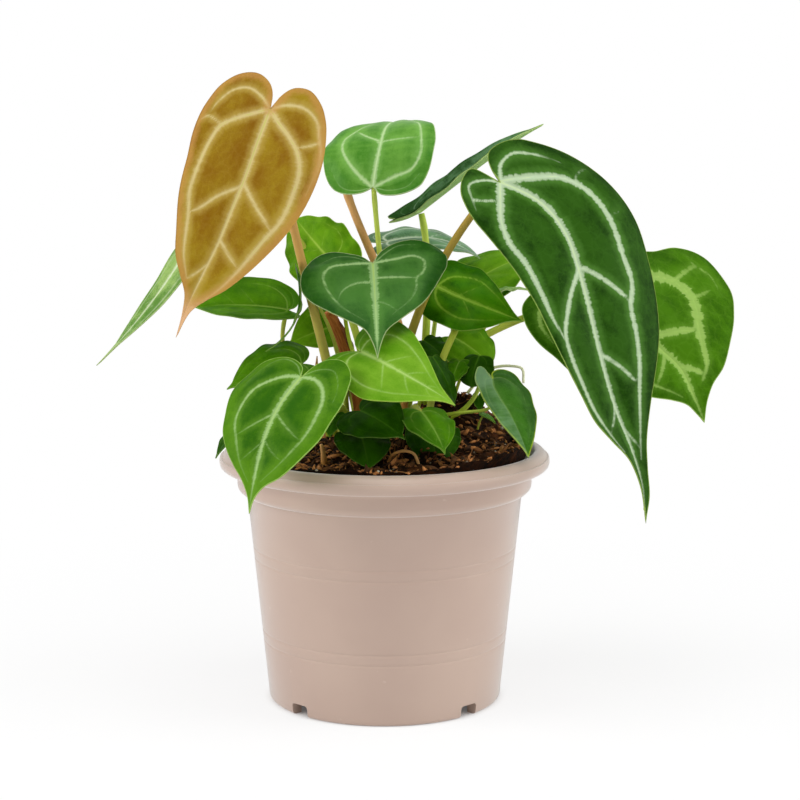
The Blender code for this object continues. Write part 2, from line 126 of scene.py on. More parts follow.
class Finish(Nodes):
    """A Principled material being made."""

    def __init__(self, name, **constants):
        self.material = bpy.data.materials.new(name)
        self.material.use_nodes = True
        super().__init__(self.material.node_tree)
        self.shader = self.tree.nodes["Principled BSDF"]
        self.set(**constants)

    def set(self, **sockets):
        """Set or link sockets of the shader."""
        for name, value in sockets.items():
            self.put(self.shader.inputs[name.replace("_", " ")], value)

    def attribute(self, name, output="Fac"):
        return self.node("ShaderNodeAttribute", {"attribute_name": name}, output=output)

    def place(self):
        """Place on the surface in the object's own frame, in metres."""
        return self.node("ShaderNodeTexCoord", output="Object")

    def stretch(self, vector, scale):
        return self.node("ShaderNodeVectorMath", {"operation": "MULTIPLY"}, {0: vector, 1: scale})

    def noise(self, vector, scale, detail=3.0, roughness=0.55):
        return self.node("ShaderNodeTexNoise", None,
                         {"Vector": vector, "Scale": scale, "Detail": detail, "Roughness": roughness})

    def streaks(self, scale, detail, roughness):
        """Noise drawn out over the flat plan of a blade or a tube."""
        flat = self.attribute("flat", "Vector")
        return self.noise(self.stretch(flat, scale), 1.0, detail, roughness)

    def cells(self, vector, scale):
        """Distance to the edge of the nearest cell."""
        return self.node("ShaderNodeTexVoronoi", {"feature": "DISTANCE_TO_EDGE"},
                         {"Vector": vector, "Scale": scale})

    def ramp(self, value, start, end, low=0.0, high=1.0):
        """Smooth step from low at start to high at end."""
        return self.node("ShaderNodeMapRange", {"interpolation_type": "SMOOTHSTEP"},
                         {"Value": value, "From Min": start, "From Max": end,
                          "To Min": low, "To Max": high})

    def mix(self, factor, *colours):
        """Mix of two colours, each a link or a colour's six digits."""
        first, second = [tint(colour) if isinstance(colour, str) else colour for colour in colours]
        return self.node("ShaderNodeMix", {"data_type": "RGBA"}, {0: factor, 6: first, 7: second},
                         output=2)

    def bump(self, height, strength, distance):
        return self.node("ShaderNodeBump", None,
                         {"Height": height, "Strength": strength, "Distance": distance})


# ---------------------------------------------------------------- finishes

@dataclass
class Palette:
    """Colours and vein habit of a kind of leaf."""
    name: str
    slot: str
    deep: str              # the dark of the panels
    light: str             # the light of the panels
    vein: str
    halo: str              # beside the veins
    margin: str
    under: str = "8fb35a"  # lower face
    under_vein: str = "c4dc9a"
    spine: str = "a8c45c"  # middle of the stoutest veins
    tip: str = ""          # colour that the blade fades to at its tip
    feather: float = 0.35  # reach of the veins' ragged edges, of their width
    feather_strength: float = 0.5
    soft: float = 0.3      # blur of those edges, mm
    halo_reach: float = 2.5
    halo_strength: float = 0.35
    vein_strength: float = 0.9
    net: float = 0.06      # strength of the fine network
    gloss: float = 0.40    # roughness
    shine: float = 0.03    # strength of the reflection
    dapple: float = 0.3    # range of cloudiness from the dark to the light of the panels
    brighten: float = 0.12  # how much lighter the tip's end is
    centre: float = 0.1    # how much lighter the inside is than the parts along the margin
    ripple_and_sheen: float = 0.3    # depth of the fine ripples across the blade, and strength of the painted sheen along them
    painted_sheen: str = ""        # colour of the painted sheen on the right half
    margin_width: float = 0.4
    margin_strength: float = 0.8


PALETTES = {palette.name: palette for palette in (
    Palette("bronze", "leaf_bronze_tissue", "7e560c", "9c8420", "c8b67c", "b09848", "ba884c",
            under="b08f48", under_vein="d8c890", spine="b8b860", tip="d4a97c", feather=0.35,
            feather_strength=0.7, soft=0.9, halo_reach=2.6, halo_strength=0.6, margin_width=3.8,
            margin_strength=0.6, gloss=0.5, net=0.06, dapple=0.5, ripple_and_sheen=0.0, centre=-0.12, brighten=0.1),
    # Its darker tip end, from the negative brighten, is painted shade.
    Palette("velvet", "leaf_dark_tissue", "123202", "2a520e", "b8cca8", "548434", "8fa850", spine="c0d49a",
            feather=0.5, feather_strength=0.75, soft=0.45, halo_reach=3.0, halo_strength=0.5,
            brighten=-0.1),
    Palette("emerald", "leaf_mid_tissue", "2c5602", "44740a", "96b85c", "6c9a30", "9cba5c", spine="b4d06c",
            feather=1.1, feather_strength=0.85, soft=0.4, halo_reach=2.2, net=0.1),
    Palette("fresh", "leaf_mid_tissue", "367614", "669c3a", "b0d092", "7cb052", "b8cf94", spine="c4dcaa",
            feather=0.4, feather_strength=0.6, soft=0.45, halo_reach=2.6, halo_strength=0.45, gloss=0.34,
            shine=0.08, ripple_and_sheen=1.0, dapple=0.5),
    # The heart's darker margins and lighter inside, set by centre, are painted shade.
    Palette("heart", "leaf_dark_tissue", "1c4e0c", "44782a", "a4c884", "5c8c40", "bcca90", feather=0.6,
            feather_strength=0.65, soft=0.45, halo_reach=3.0, dapple=0.6, halo_strength=0.45, gloss=0.32,
            shine=0.05, margin_width=0.35, margin_strength=0.7, centre=0.35, ripple_and_sheen=1.0),
    Palette("leafy", "leaf_mid_tissue", "2a5a08", "508010", "a4c480", "6c9830", "98b85c", feather=0.6,
            feather_strength=0.65, soft=0.5, vein_strength=0.6, ripple_and_sheen=0.5, centre=-0.25, dapple=0.5,
            halo_reach=3.0, halo_strength=0.45, net=0.03),
    Palette("glade", "leaf_mid_tissue", "285c00", "468406", "92b83c", "5c8e14", "8cac44", feather=0.5,
            vein_strength=0.7, gloss=0.34, ripple_and_sheen=0.5, halo_strength=0.5),
    Palette("plain", "leaf_mid_tissue", "366a02", "568e08", "90b450", "5e8e1e", "88ac44", vein_strength=0.6,
            feather_strength=0.4, gloss=0.34, ripple_and_sheen=0.5, margin_strength=0.5),
    Palette("spring", "leaf_mid_tissue", "447802", "649810", "a8c850", "80aa28", "a8c458",
            vein_strength=0.5, feather_strength=0.3, ripple_and_sheen=0.5),
    Palette("lime", "leaf_lime_tissue", "4a8204", "78a62a", "b4d47c", "80a834", "a8c454", under="a4c850",
            vein_strength=0.45, feather_strength=0.4, feather=0.45, soft=0.6, brighten=0.25, dapple=0.6,
            margin_strength=0.5, net=0.03),
    Palette("pale", "leaf_lime_tissue", "4c7c28", "90b060", "d4e0bc", "a0bc74", "b4c888", under="a0c068",
            feather=0.6, dapple=0.2),
    Palette("shade", "leaf_dark_tissue", "183e00", "306006", "5c8a28", "3c6e0c", "608430",
            vein_strength=0.4, margin_strength=0.5, feather_strength=0.3, gloss=0.34),
    Palette("edgewise", "leaf_dark_tissue", "2c5024", "587e54", "8cac84", "54804c", "a4bc74",
            under="a8c880", vein_strength=0.5, ripple_and_sheen=1.4, gloss=0.65, shine=0.0, margin_width=0.5),
    Palette("frost", "leaf_blue_tissue", "2c5c34", "6c9c6c", "dce8d4", "90b484", "a8c08c", under="a4c08c",
            feather=0.5, gloss=0.3, shine=0.06),
    Palette("steel", "leaf_blue_tissue", "2a5c0c", "4c8428", "84a85c", "5c883c", "b8cc3c", under="8cb04c",
            vein_strength=0.35, gloss=0.3, shine=0.06, margin_width=0.6, painted_sheen="88ac84", ripple_and_sheen=0.6),
)}


def leaf_finish(palette):
    """Finish of a blade: mottled panels, feathered pale veins, thin margin and a lighter lower face."""
    finish = Finish("leaf_" + palette.name, Specular_IOR_Level=palette.shine, Subsurface_Weight=0.05,
                    Subsurface_Radius=(0.002, 0.003, 0.0006))
    flat = finish.attribute("flat", "Vector")
    vein = finish.attribute("vein")
    edge = finish.attribute("edge")
    under = finish.attribute("under")
    bold = finish.attribute("bold")
    share = finish.attribute("share")
    teeth = finish.noise(finish.attribute("comb", "Vector"), 0.55, 4.0, 0.75)
    wisps = finish.noise(flat, 0.45, 5.0, 0.65)
    grain = finish.noise(flat, 2.2, 3.0, 0.6)
    loud = finish.ramp(bold, 0.15, 0.9, 0.3, 1.0)
    reach = finish.ramp(teeth, 0.25, 0.8, 0.3, 1.6) * bold * palette.feather
    fringe = finish.ramp(vein - reach, -palette.soft, 0.6 * palette.soft, 1.0, 0.0) * loud
    core = finish.ramp(vein + (grain - 0.5) * 0.4, -0.35, 0.2, 1.0, 0.0) * loud
    halo = finish.ramp(vein - reach + (wisps - 0.5) * 2.0, 0.0, palette.halo_reach, 1.0, 0.0) * loud
    warp = finish.node("ShaderNodeTexNoise", None, {"Vector": flat, "Scale": 0.3}, output=1)
    warped = finish.node("ShaderNodeVectorMath", {"operation": "MULTIPLY_ADD"},
                         {0: warp, 1: (4.0, 4.0, 4.0), 2: flat})
    net = finish.ramp(finish.cells(warped, 0.22), 0.0, 0.12, 1.0, 0.0)
    clouds = finish.noise(finish.stretch(flat, (0.6, 1.0, 1.0)), 0.13, 4.0, 0.6)
    ripples = finish.streaks((0.5, 0.09, 1.0), 2.0, 0.5)
    inner = finish.ramp(edge, 0.5, 9.0) - 0.5
    tone = clouds * 0.75 + grain * 0.25 + share * palette.brighten + inner * palette.centre
    middle = 0.5 + palette.brighten / 2
    # The ripples also lighten and darken the panels: a painted sheen along them, besides their bump.
    mottle = finish.ramp(tone + (ripples - 0.5) * 0.3 * palette.ripple_and_sheen,
                         middle - palette.dapple / 2, middle + palette.dapple / 2)
    panel = finish.mix(mottle, palette.deep, palette.light)
    panel = finish.mix(net * palette.net, panel, palette.halo)
    panel = finish.mix(halo * palette.halo_strength, panel, palette.halo)
    tufts = fringe * (0.7 + teeth * 0.6) * palette.feather_strength
    panel = finish.mix(tufts, panel, palette.vein)
    upper = finish.mix(core * palette.vein_strength, panel, palette.vein)
    spine = finish.ramp(vein + (teeth - 0.5) * 0.15, -0.5, -0.28, 1.0, 0.0)
    upper = finish.mix(spine * 0.65, upper, palette.spine)
    from_base = finish.node("ShaderNodeVectorMath", {"operation": "LENGTH"}, {0: flat}, output=1)
    star = finish.ramp(from_base, 1.0, 7.0, 1.0, 0.0) * core
    upper = finish.mix(star * 0.7, upper, palette.spine)
    lower = finish.mix(core, palette.under, palette.under_vein)
    lower = finish.mix(mottle * 0.3, lower, palette.halo)
    colour = finish.mix(under, upper, lower)
    rim = finish.ramp(edge + (wisps - 0.5) * palette.margin_width, palette.margin_width * 0.2,
                      palette.margin_width, 1.0, 0.0)
    colour = finish.mix(rim * palette.margin_strength, colour, palette.margin)
    if palette.tip:
        fade = finish.ramp(share + (wisps - 0.5) * 0.1, 0.8, 0.93)
        colour = finish.mix(fade, colour, palette.tip)
    # Painted sheen: a pale colour laid over the right half, stronger along the ripples and near the base.
    if palette.painted_sheen:
        far_half = finish.ramp(finish.attribute("hand") + (wisps - 0.5) * 0.6, 0.2, -0.2)
        sheen = finish.ramp(ripples + finish.ramp(share, 0.25, 0.0) * 0.4, 0.3, 0.8, 0.15, 0.6)
        colour = finish.mix(far_half * sheen, colour, palette.painted_sheen)
    rough = palette.gloss + core * 0.1 + grain * 0.08 + under * 0.15
    relief = grain * 0.25 - net * 0.1 - core * 0.5 + ripples * palette.ripple_and_sheen
    finish.set(Base_Color=colour, Roughness=rough, Normal=finish.bump(relief, 0.35, 0.0002))
    return finish.material


def stalk_finish(name, foot, top, blush):
    """Finish of a stalk: its colour changes from foot to top, with fine lengthwise streaks."""
    finish = Finish("stalk_" + name, Specular_IOR_Level=0.06, Subsurface_Weight=0.05,
                    Subsurface_Radius=(0.002, 0.002, 0.001))
    streak = finish.streaks((0.12, 1.6, 1.6), 4.0, 0.6)
    speck = finish.noise(finish.attribute("flat", "Vector"), 1.4, 3.0, 0.6)
    rise = finish.ramp(finish.attribute("share") + streak * 0.25, 0.1, 1.0)
    colour = finish.mix(rise, foot, top)
    colour = finish.mix(finish.ramp(speck, 0.52, 0.75) * 0.55, colour, blush)
    finish.set(Base_Color=colour, Roughness=0.36 + streak * 0.16,
               Normal=finish.bump(streak, 0.3, 0.0002))
    return finish.material


def bark_finish():
    """Brown, scaly stem."""
    finish = Finish("stem_bark", Specular_IOR_Level=0.1)
    streak = finish.streaks((0.15, 1.2, 1.2), 5.0, 0.7)
    colour = finish.mix(finish.ramp(streak, 0.3, 0.7), "8c4a1c", "bc7638")
    finish.set(Base_Color=colour, Roughness=0.55 + streak * 0.25,
               Normal=finish.bump(streak, 0.6, 0.0004))
    return finish.material


def pot_finish():
    """Matte taupe plastic with the faint grain and pale specks of a moulded nursery pot."""
    finish = Finish("pot_plastic", Specular_IOR_Level=0.5, Sheen_Weight=1.0, Sheen_Roughness=0.35)
    place = finish.place()
    grain = finish.noise(place, 1400.0, 3.0, 0.6)
    cloud = finish.noise(place, 22.0, 3.0, 0.5)
    speck = finish.ramp(finish.noise(place, 260.0, 2.0, 0.5), 0.72, 0.8)
    colour = finish.mix(finish.ramp(cloud, 0.3, 0.7), "b9a092", "bfa798")
    colour = finish.mix(speck * 0.35, colour, "d2c0b4")
    finish.set(Base_Color=colour, Roughness=0.34 + cloud * 0.12,
               Normal=finish.bump(grain, 0.12, 0.0001))
    return finish.material


def soil_finish():
    """Moist potting mix between the bark chips."""
    finish = Finish("potting_mix", Specular_IOR_Level=0.08)
    place = finish.place()
    crumbs = finish.noise(place, 420.0, 6.0, 0.7)
    patches = finish.noise(place, 90.0, 3.0, 0.6)
    colour = finish.mix(finish.ramp(crumbs, 0.35, 0.7), "0a0502", "301808")
    colour = finish.mix(finish.ramp(patches, 0.55, 0.75) * 0.5, colour, "6c3c1c")
    finish.set(Base_Color=colour, Roughness=0.8 + crumbs * 0.15,
               Normal=finish.bump(crumbs, 0.8, 0.0012))
    return finish.material


def crumb_finish(name, dark, light):
    """Chips, fibres and grit of the mix, each of its own shade."""
    finish = Finish(name, Specular_IOR_Level=0.1)
    shade = finish.attribute("shade")
    grain = finish.noise(finish.place(), 700.0, 4.0, 0.65)
    colour = finish.mix(finish.ramp(shade * 0.7 + grain * 0.3, 0.1, 0.9), dark, light)
    finish.set(Base_Color=colour, Roughness=0.6 + grain * 0.25,
               Normal=finish.bump(grain, 0.5, 0.0005))
    return finish.material


def paper_finish():
    """Dry, brown sheath."""
    finish = Finish("sheath_paper")
    streak = finish.streaks((0.2, 1.4, 1.4), 4.0, 0.6)
    colour = finish.mix(finish.ramp(streak, 0.3, 0.7), "6a2a12", "b06c3a")
    finish.set(Base_Color=colour, Roughness=0.6 + streak * 0.2)
    return finish.material


# ---------------------------------------------------------------- making meshes

def add_object(name, data):
    """Object in the scene."""
    made = bpy.data.objects.new(name, data)
    bpy.context.scene.collection.objects.link(made)
    return made


def mesh_from(name, body):
    """Mesh of what was built in a bmesh."""
    mesh = bpy.data.meshes.new(name)
    body.to_mesh(mesh)
    body.free()
    return mesh


def add_piece(name, points, faces, material, replaces=(), values=None):
    """Piece on the root body, from points in millimetres about the pot's axis."""
    mesh = bpy.data.meshes.new(name)
    places = np.asarray(points, float) * 0.001 + POT_AXIS
    mesh.from_pydata(places.tolist(), [], faces)
    for key, data in (values or {}).items():
        data = np.asarray(data, float)
        if data.ndim == 2:
            mesh.attributes.new(key, "FLOAT_VECTOR", "POINT").data.foreach_set("vector", data.ravel())
        else:
            mesh.attributes.new(key, "FLOAT", "POINT").data.foreach_set("value", data)
    mesh.materials.append(material)
    mesh.shade_smooth()
    piece = add_object(name, mesh)
    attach(piece, "root")
    if replaces:
        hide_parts(*replaces)
    return piece


def unit(vectors):
    """Vectors of length one."""
    return vectors / np.maximum(np.linalg.norm(vectors, axis=-1, keepdims=True), 1e-12)


def bezier(corners, steps):
    """Points along a Bezier curve of three or four corners, its start left out."""
    corners = np.asarray(corners, float)
    t = (np.arange(steps) + 1)[:, None] / steps
    while len(corners) > 1:
        corners = [a * (1 - t) + b * t for a, b in zip(corners, corners[1:])]
    return corners[0]


def run_along(curve):
    """Distance from a curve's start to each of its points."""
    return np.concatenate([[0], np.cumsum(np.linalg.norm(np.diff(curve, axis=0), axis=1))])


def smooth_through(stations, shares):
    """Smooth curve of any number of columns through stations (share, values...), read at shares."""
    stations = np.asarray(stations, float)
    at = stations[:, 0]
    values = stations[:, 1:]
    slopes = np.gradient(values, at, axis=0)
    index = np.clip(np.searchsorted(at, shares) - 1, 0, len(at) - 2)
    span = (at[index + 1] - at[index])[:, None]
    t = np.clip((shares[:, None] - at[index][:, None]) / span, 0, 1)
    start, end = values[index], values[index + 1]
    return (start * (2 * t**3 - 3 * t**2 + 1) + slopes[index] * span * (t**3 - 2 * t**2 + t)
            + end * (3 * t**2 - 2 * t**3) + slopes[index + 1] * span * (t**3 - t**2))


def even_points(curve, count):
    """Points evenly spaced along a smooth curve through a few points, its start left out."""
    run = run_along(curve)
    return smooth_through(np.column_stack([run / run[-1], curve]), (np.arange(count) + 1) / count)


def with_start(curve, count):
    """The same with its start."""
    return np.vstack([curve[:1], even_points(curve, count)])


def face_normals(points, faces):
    """Normal of every point, from the faces around it."""
    normals = np.zeros_like(points)
    for size in (3, 4):
        group = np.array([face for face in faces if len(face) == size])
        if len(group):
            across = np.cross(points[group[:, 1]] - points[group[:, 0]],
                              points[group[:, -1]] - points[group[:, 0]])
            for column in range(size):
                np.add.at(normals, group[:, column], across)
    return unit(normals)


def nearest(points, curve):
    """Distance from flat points to a polyline, and how far along it the nearest place is."""
    starts = curve[:-1]
    runs = curve[1:] - starts
    away = points[:, None, :] - starts[None, :, :]
    t = np.clip((away * runs).sum(-1) / np.maximum((runs**2).sum(-1), 1e-12), 0, 1)
    gaps = np.linalg.norm(away - runs * t[..., None], axis=-1)
    best = gaps.argmin(1)
    rows = np.arange(len(points))
    return gaps[rows, best], (best + t[rows, best]) / len(starts)


def bridge(lower, upper):
    """Faces between two closed rings of point numbers, where a ring may be one point repeated."""
    faces = []
    for corners in zip(lower, lower[1:] + lower[:1], upper[1:] + upper[:1], upper):
        face = list(dict.fromkeys(corners))
        if len(face) > 2:
            faces.append(face)
    return faces


def ring_numbers(rings, sides):
    """Point numbers of each of several equal rings, made one after the other."""
    return [list(range(ring * sides, (ring + 1) * sides)) for ring in range(rings)]


def closed_tube(rings):
    """Faces of a stack of rings, closed at both ends."""
    faces = [rings[0][::-1], rings[-1]]
    for lower, upper in zip(rings, rings[1:]):
        faces += bridge(lower, upper)
    return faces


# ---------------------------------------------------------------- leaves

BLADE_THICKNESS = 0.36
RIB_RAKE = 0.6         # how far a rib runs towards the tip, of its reach across
MIDRIB_SHARE = 0.985   # of the length
MIDRIB_WIDTHS = (1.3, 0.4)    # at the base and at the tip of a blade 40 mm wide
VEIN_CORE = 0.65       # solid share of a vein's width, the rest of it being feathered
RIDGE_HEIGHT = 0.28    # of a vein under the blade
RIDGE_SHOULDER = 0.3   # how far inside the vein's core it starts to fall
RIDGE_REACH = 0.8      # width over which it falls to nothing
QUILT_REACH = 2.0      # from a vein to where the swelling beside it is well up
QUILT_MARGIN = 2.5     # width of the margin over which it fades out
MARGIN_STEPS = (14, 30, 44, 12)
RIB_COLUMNS = 20
BLADE_LEVELS = (15.0, 24.0, 38.0)    # widths past which a blade has a finer mesh
BLADE_DETAIL = (0.4, 0.6, 0.9, 1.5)


@dataclass
class Leaf:
    """One leaf: a heart-shaped blade hung between its base and its tip, and its stalk."""
    name: str
    base: tuple            # where the stalk meets the blade
    tip: tuple             # the blade's drip tip
    width: float
    foot: tuple            # the stalk's foot, x and y on the soil or a full place
    palette: str = "leafy"
    stalk_finish: str = "olive"
    roll: float = 0.0      # degrees, the blade's left edge raised about its chord
    arch: float = 0.06     # rise of the midrib above its chord, of the length
    bow: float = 0.0       # bend of the midrib to the left, of the length
    early: float = 0.0     # how far both bends crowd towards the base, -1 to 1
    fold: float = 10.0     # degrees that each half is raised at the midrib
    cup: float = 25.0      # degrees that each half curls down towards its margin
    lobe: float = 0.20     # length of the lobes behind the base, of the length
    spread: float = 0.25   # how far each lobe's back end lies from the midrib, of the width
    widest: float = 0.15   # where the blade is widest, of the length
    tail: float = 0.10     # narrow drip tip, of the length
    belly: float = 0.35    # width kept by the sides just before the tail, of the half width
    skew: float = 0.0      # share of the width moved to the left half
    lobe_skew: float = 0.0  # share of the lobe's length moved to the left half
    lobe_lift: float = 0.0  # rise of the lobes' back ends, of the lobe's length
    stalk: float = 2.4     # diameter of the stalk at its top
    lean: tuple = (0, 0, 0)   # pull on the stalk's lower part
    sway: tuple = (0, 0, 0)   # pull on the stalk's upper part
    joined: bool = False   # blade and stalk are one piece
    wave: float = 0.5      # rise and fall of the margin, mm
    waves: float = 3.0     # how many from base to tip
    quilt: float = 0.35    # swelling between the veins, mm
    ribs: float = 1.0      # width of the veins, of the usual width


LEAVES = (
    Leaf("leaf_bronze", (-39, -22, 214), (-70, -48, 138), 46, (-14, -6), roll=-40, arch=0.05, lobe=0.12,
         spread=0.2, belly=0.5, tail=0.14, skew=0.1, stalk=2.8, lean=(-6, -4, -10), sway=(-1, 0, -8),
         palette="bronze", stalk_finish="bronze", ribs=1.6),
    Leaf("leaf_left_back", (-67, 12, 171), (-104, 0, 122), 13.0, (-14, 12), roll=-30, arch=-0.05,
         lean=(0, 0, 23), sway=(16, 0, 41), stalk=1.6, skew=0.08, tail=0.17, belly=0.4, wave=0.25, ribs=1.5,
         palette="pale"),
    Leaf("leaf_top", (-4, 2, 186), (6, 40, 207), 41, (2, 4), arch=0.22, roll=-6, cup=10, fold=2, quilt=0.7,
         lobe=0.10, lobe_lift=0.3, widest=0.3, belly=0.7, sway=(-3, 0, 0), stalk=1.8, ribs=1.35,
         palette="fresh", stalk_finish="lime"),
    Leaf("leaf_upper_right", (13, 22, 176), (58, 22, 208), 40, (14, 12), roll=2.5, fold=20, cup=22,
         arch=0.02, early=-0.6, lobe_lift=0.2, wave=0.35, waves=4.0, quilt=0.6, palette="edgewise",
         stalk_finish="lime"),
    Leaf("leaf_large_right", (40, -25, 189), (88, -62, 77), 52, (4, -3), roll=25, bow=0.11, early=0.9,
         arch=0.04, lobe=0.065, lobe_skew=-0.5, widest=0.19, tail=0.2, belly=0.6, skew=0.06, stalk=2.6,
         sway=(-7, 14, 6), palette="velvet", ribs=1.45, stalk_finish="tan"),
    Leaf("leaf_right_back", (74, 25, 147), (116, 0, 101), 66, (18, 12), roll=44, bow=0.12, early=-0.1,
         lobe=0.15, lobe_skew=-0.7, widest=0.38, belly=0.4, spread=0.25, lean=(2, 0, 7), sway=(-10, 0, 3),
         palette="emerald", ribs=1.4),
    Leaf("leaf_heart", (-4, -14, 160), (-2, -42, 130), 53, (-1, -8), spread=0.27, belly=0.25,
         lobe_skew=0.35, ribs=1.5, palette="heart"),
    Leaf("leaf_bright_left", (-21, 8, 161), (-33, 30, 173), 29, (-5, 10), roll=-52, lobe=0.4, fold=6,
         cup=20, wave=1.0, palette="spring", stalk_finish="lime"),
    Leaf("leaf_back_arched", (1, 34, 164), (36, 44, 157), 26, (4, 18), arch=0.12, roll=16, stalk=1.5,
         tail=0.04, belly=0.6, ribs=1.6, palette="frost"),
    Leaf("leaf_mid_right", (19, 6, 150), (50, -2, 138), 27, (15, 7), roll=50, ribs=1.5, stalk=1.5,
         palette="glade", stalk_finish="lime"),
    Leaf("leaf_lime_back", (28, 36, 145), (57, 50, 158), 34, (19, 18), roll=20, belly=0.6, stalk=1.5,
         palette="spring"),
    Leaf("leaf_narrow_back", (42, 24, 147), (57, 26, 146), 9, (25, 18), stalk=1.0, palette="pale"),
    Leaf("leaf_left", (-35, 0, 142), (-68, 0, 143), 27, (-17, 4), roll=-30, fold=25, wave=0.2, skew=-0.1,
         stalk=1.5, lean=(-11, 0, 0), sway=(-9, 0, -6), palette="plain"),
    Leaf("leaf_left_slender", (-30, -12, 154), (-41.5, -22, 130), 10.5, (-13, -3), roll=43, arch=-0.17,
         widest=0.3, belly=0.2, tail=0.45, stalk=1.2, palette="shade"),
    Leaf("leaf_pale_left", (-19, 18, 134), (-35.6, 14, 128), 19, (-10, 11), roll=-58, skew=-0.2,
         palette="spring"),
    Leaf("leaf_left_low", (-29.3, -15, 124.6), (-55, -25, 117), 30, (-15, 1), roll=-30, palette="plain"),
    Leaf("leaf_front_left", (-28, -45, 124), (-44, -75, 83), 44, (-11, -9), bow=-0.04, belly=0.45,
         skew=0.08, ribs=1.35, palette="leafy"),
    Leaf("leaf_lime_front", (-8, -32, 131), (24, -62, 117), 41, (-3, -12), roll=35, belly=0.45, ribs=1.3,
         palette="lime"),
    Leaf("leaf_low_dark", (-8, -30, 110), (7.3, -45, 102.7), 23, (-5, -17), roll=30, belly=0.5,
         palette="shade", joined=True),
    Leaf("leaf_low_under", (-8, -28, 101), (-5, -43, 91), 20, (-8, -20), belly=0.5, palette="shade",
         joined=True),
    Leaf("leaf_low_small", (13, -32, 110), (21, -48, 98), 19, (10, -10), belly=0.4, lobe=0.12, widest=0.28,
         lean=(0, -3, 4), sway=(-1, 7, 5), joined=True, ribs=1.3, palette="plain"),
    Leaf("leaf_low_round", (17, -18, 101.5), (18, -32, 91), 20, (14, -12), belly=0.7, tail=0.04,
         palette="shade", joined=True),
    Leaf("leaf_right_slender", (17, -15, 127), (25, -20, 110), 13, (12, -7), lobe=0.03, belly=0.6,
         stalk=1.0, palette="shade"),
    Leaf("leaf_right_low", (25, 10, 131), (39, 5, 121), 24, (21, 10), roll=30, belly=0.8, tail=0.04,
         palette="spring"),
    Leaf("leaf_right_inner", (14, -4, 131.5), (21.5, -9, 125.5), 13, (9, 0), roll=20, lobe=0.08, widest=0.4,
         belly=0.7, stalk=1.2, palette="shade", joined=True),
    Leaf("leaf_right_cupped", (34, -8, 126.5), (31, -11, 115.5), 16, (17, -4), fold=2, cup=20, lobe=0.04,
         widest=0.42, belly=0.95, tail=0.03, stalk=1.4, lean=(13, 0, -9), sway=(5, 2, -4), palette="shade",
         stalk_finish="lime", joined=True),
    Leaf("leaf_right_tiny", (27, -4, 124), (24, -9, 116), 10, (22, 4), lobe=0.1, belly=0.7, stalk=1.1,
         joined=True, palette="plain"),
    Leaf("leaf_front_right", (38, -20, 120), (50, -38, 95), 26, (12, -10, 103), stalk=1.0,
         lean=(22, -5, -3), sway=(10, 0, -11), palette="steel", stalk_finish="lime"),
    Leaf("leaf_rim_left", (-49, -20, 105), (-59, -28, 93), 10, (-20, 11), palette="shade"),
    Leaf("leaf_low_left", (-17, -27, 108), (-19, -33, 101), 8, (-13, -13), palette="shade", joined=True),
    Leaf("leaf_young", (-15, 12, 189), (-17, 26, 193), 8, (7, 11), fold=60, cup=5, stalk=2.8,
         lean=(7, 0, 0), sway=(3, 0, 0), palette="bronze", stalk_finish="brown"),
)
SMALL_LEAVES = (
    Leaf("heap_leaf", (34, 2, 110.5), (34.5, -1, 105), 4.8, (0, 0), wave=0.1, quilt=0.1, palette="shade"),
    Leaf("heap_sprout", (35.5, -8, 105.5), (39.8, -11, 102.6), 3.8, (0, 0), wave=0.1, quilt=0.1,
         palette="plain"),
)
SHEATH = Leaf("sheath", (-11, -3.5, 125), (-16.8, -4.0, 140), 2.6, (0, 0), palette="bronze", roll=-60,
              fold=40, cup=60, lobe=0.05, quilt=0.1, wave=0.3)

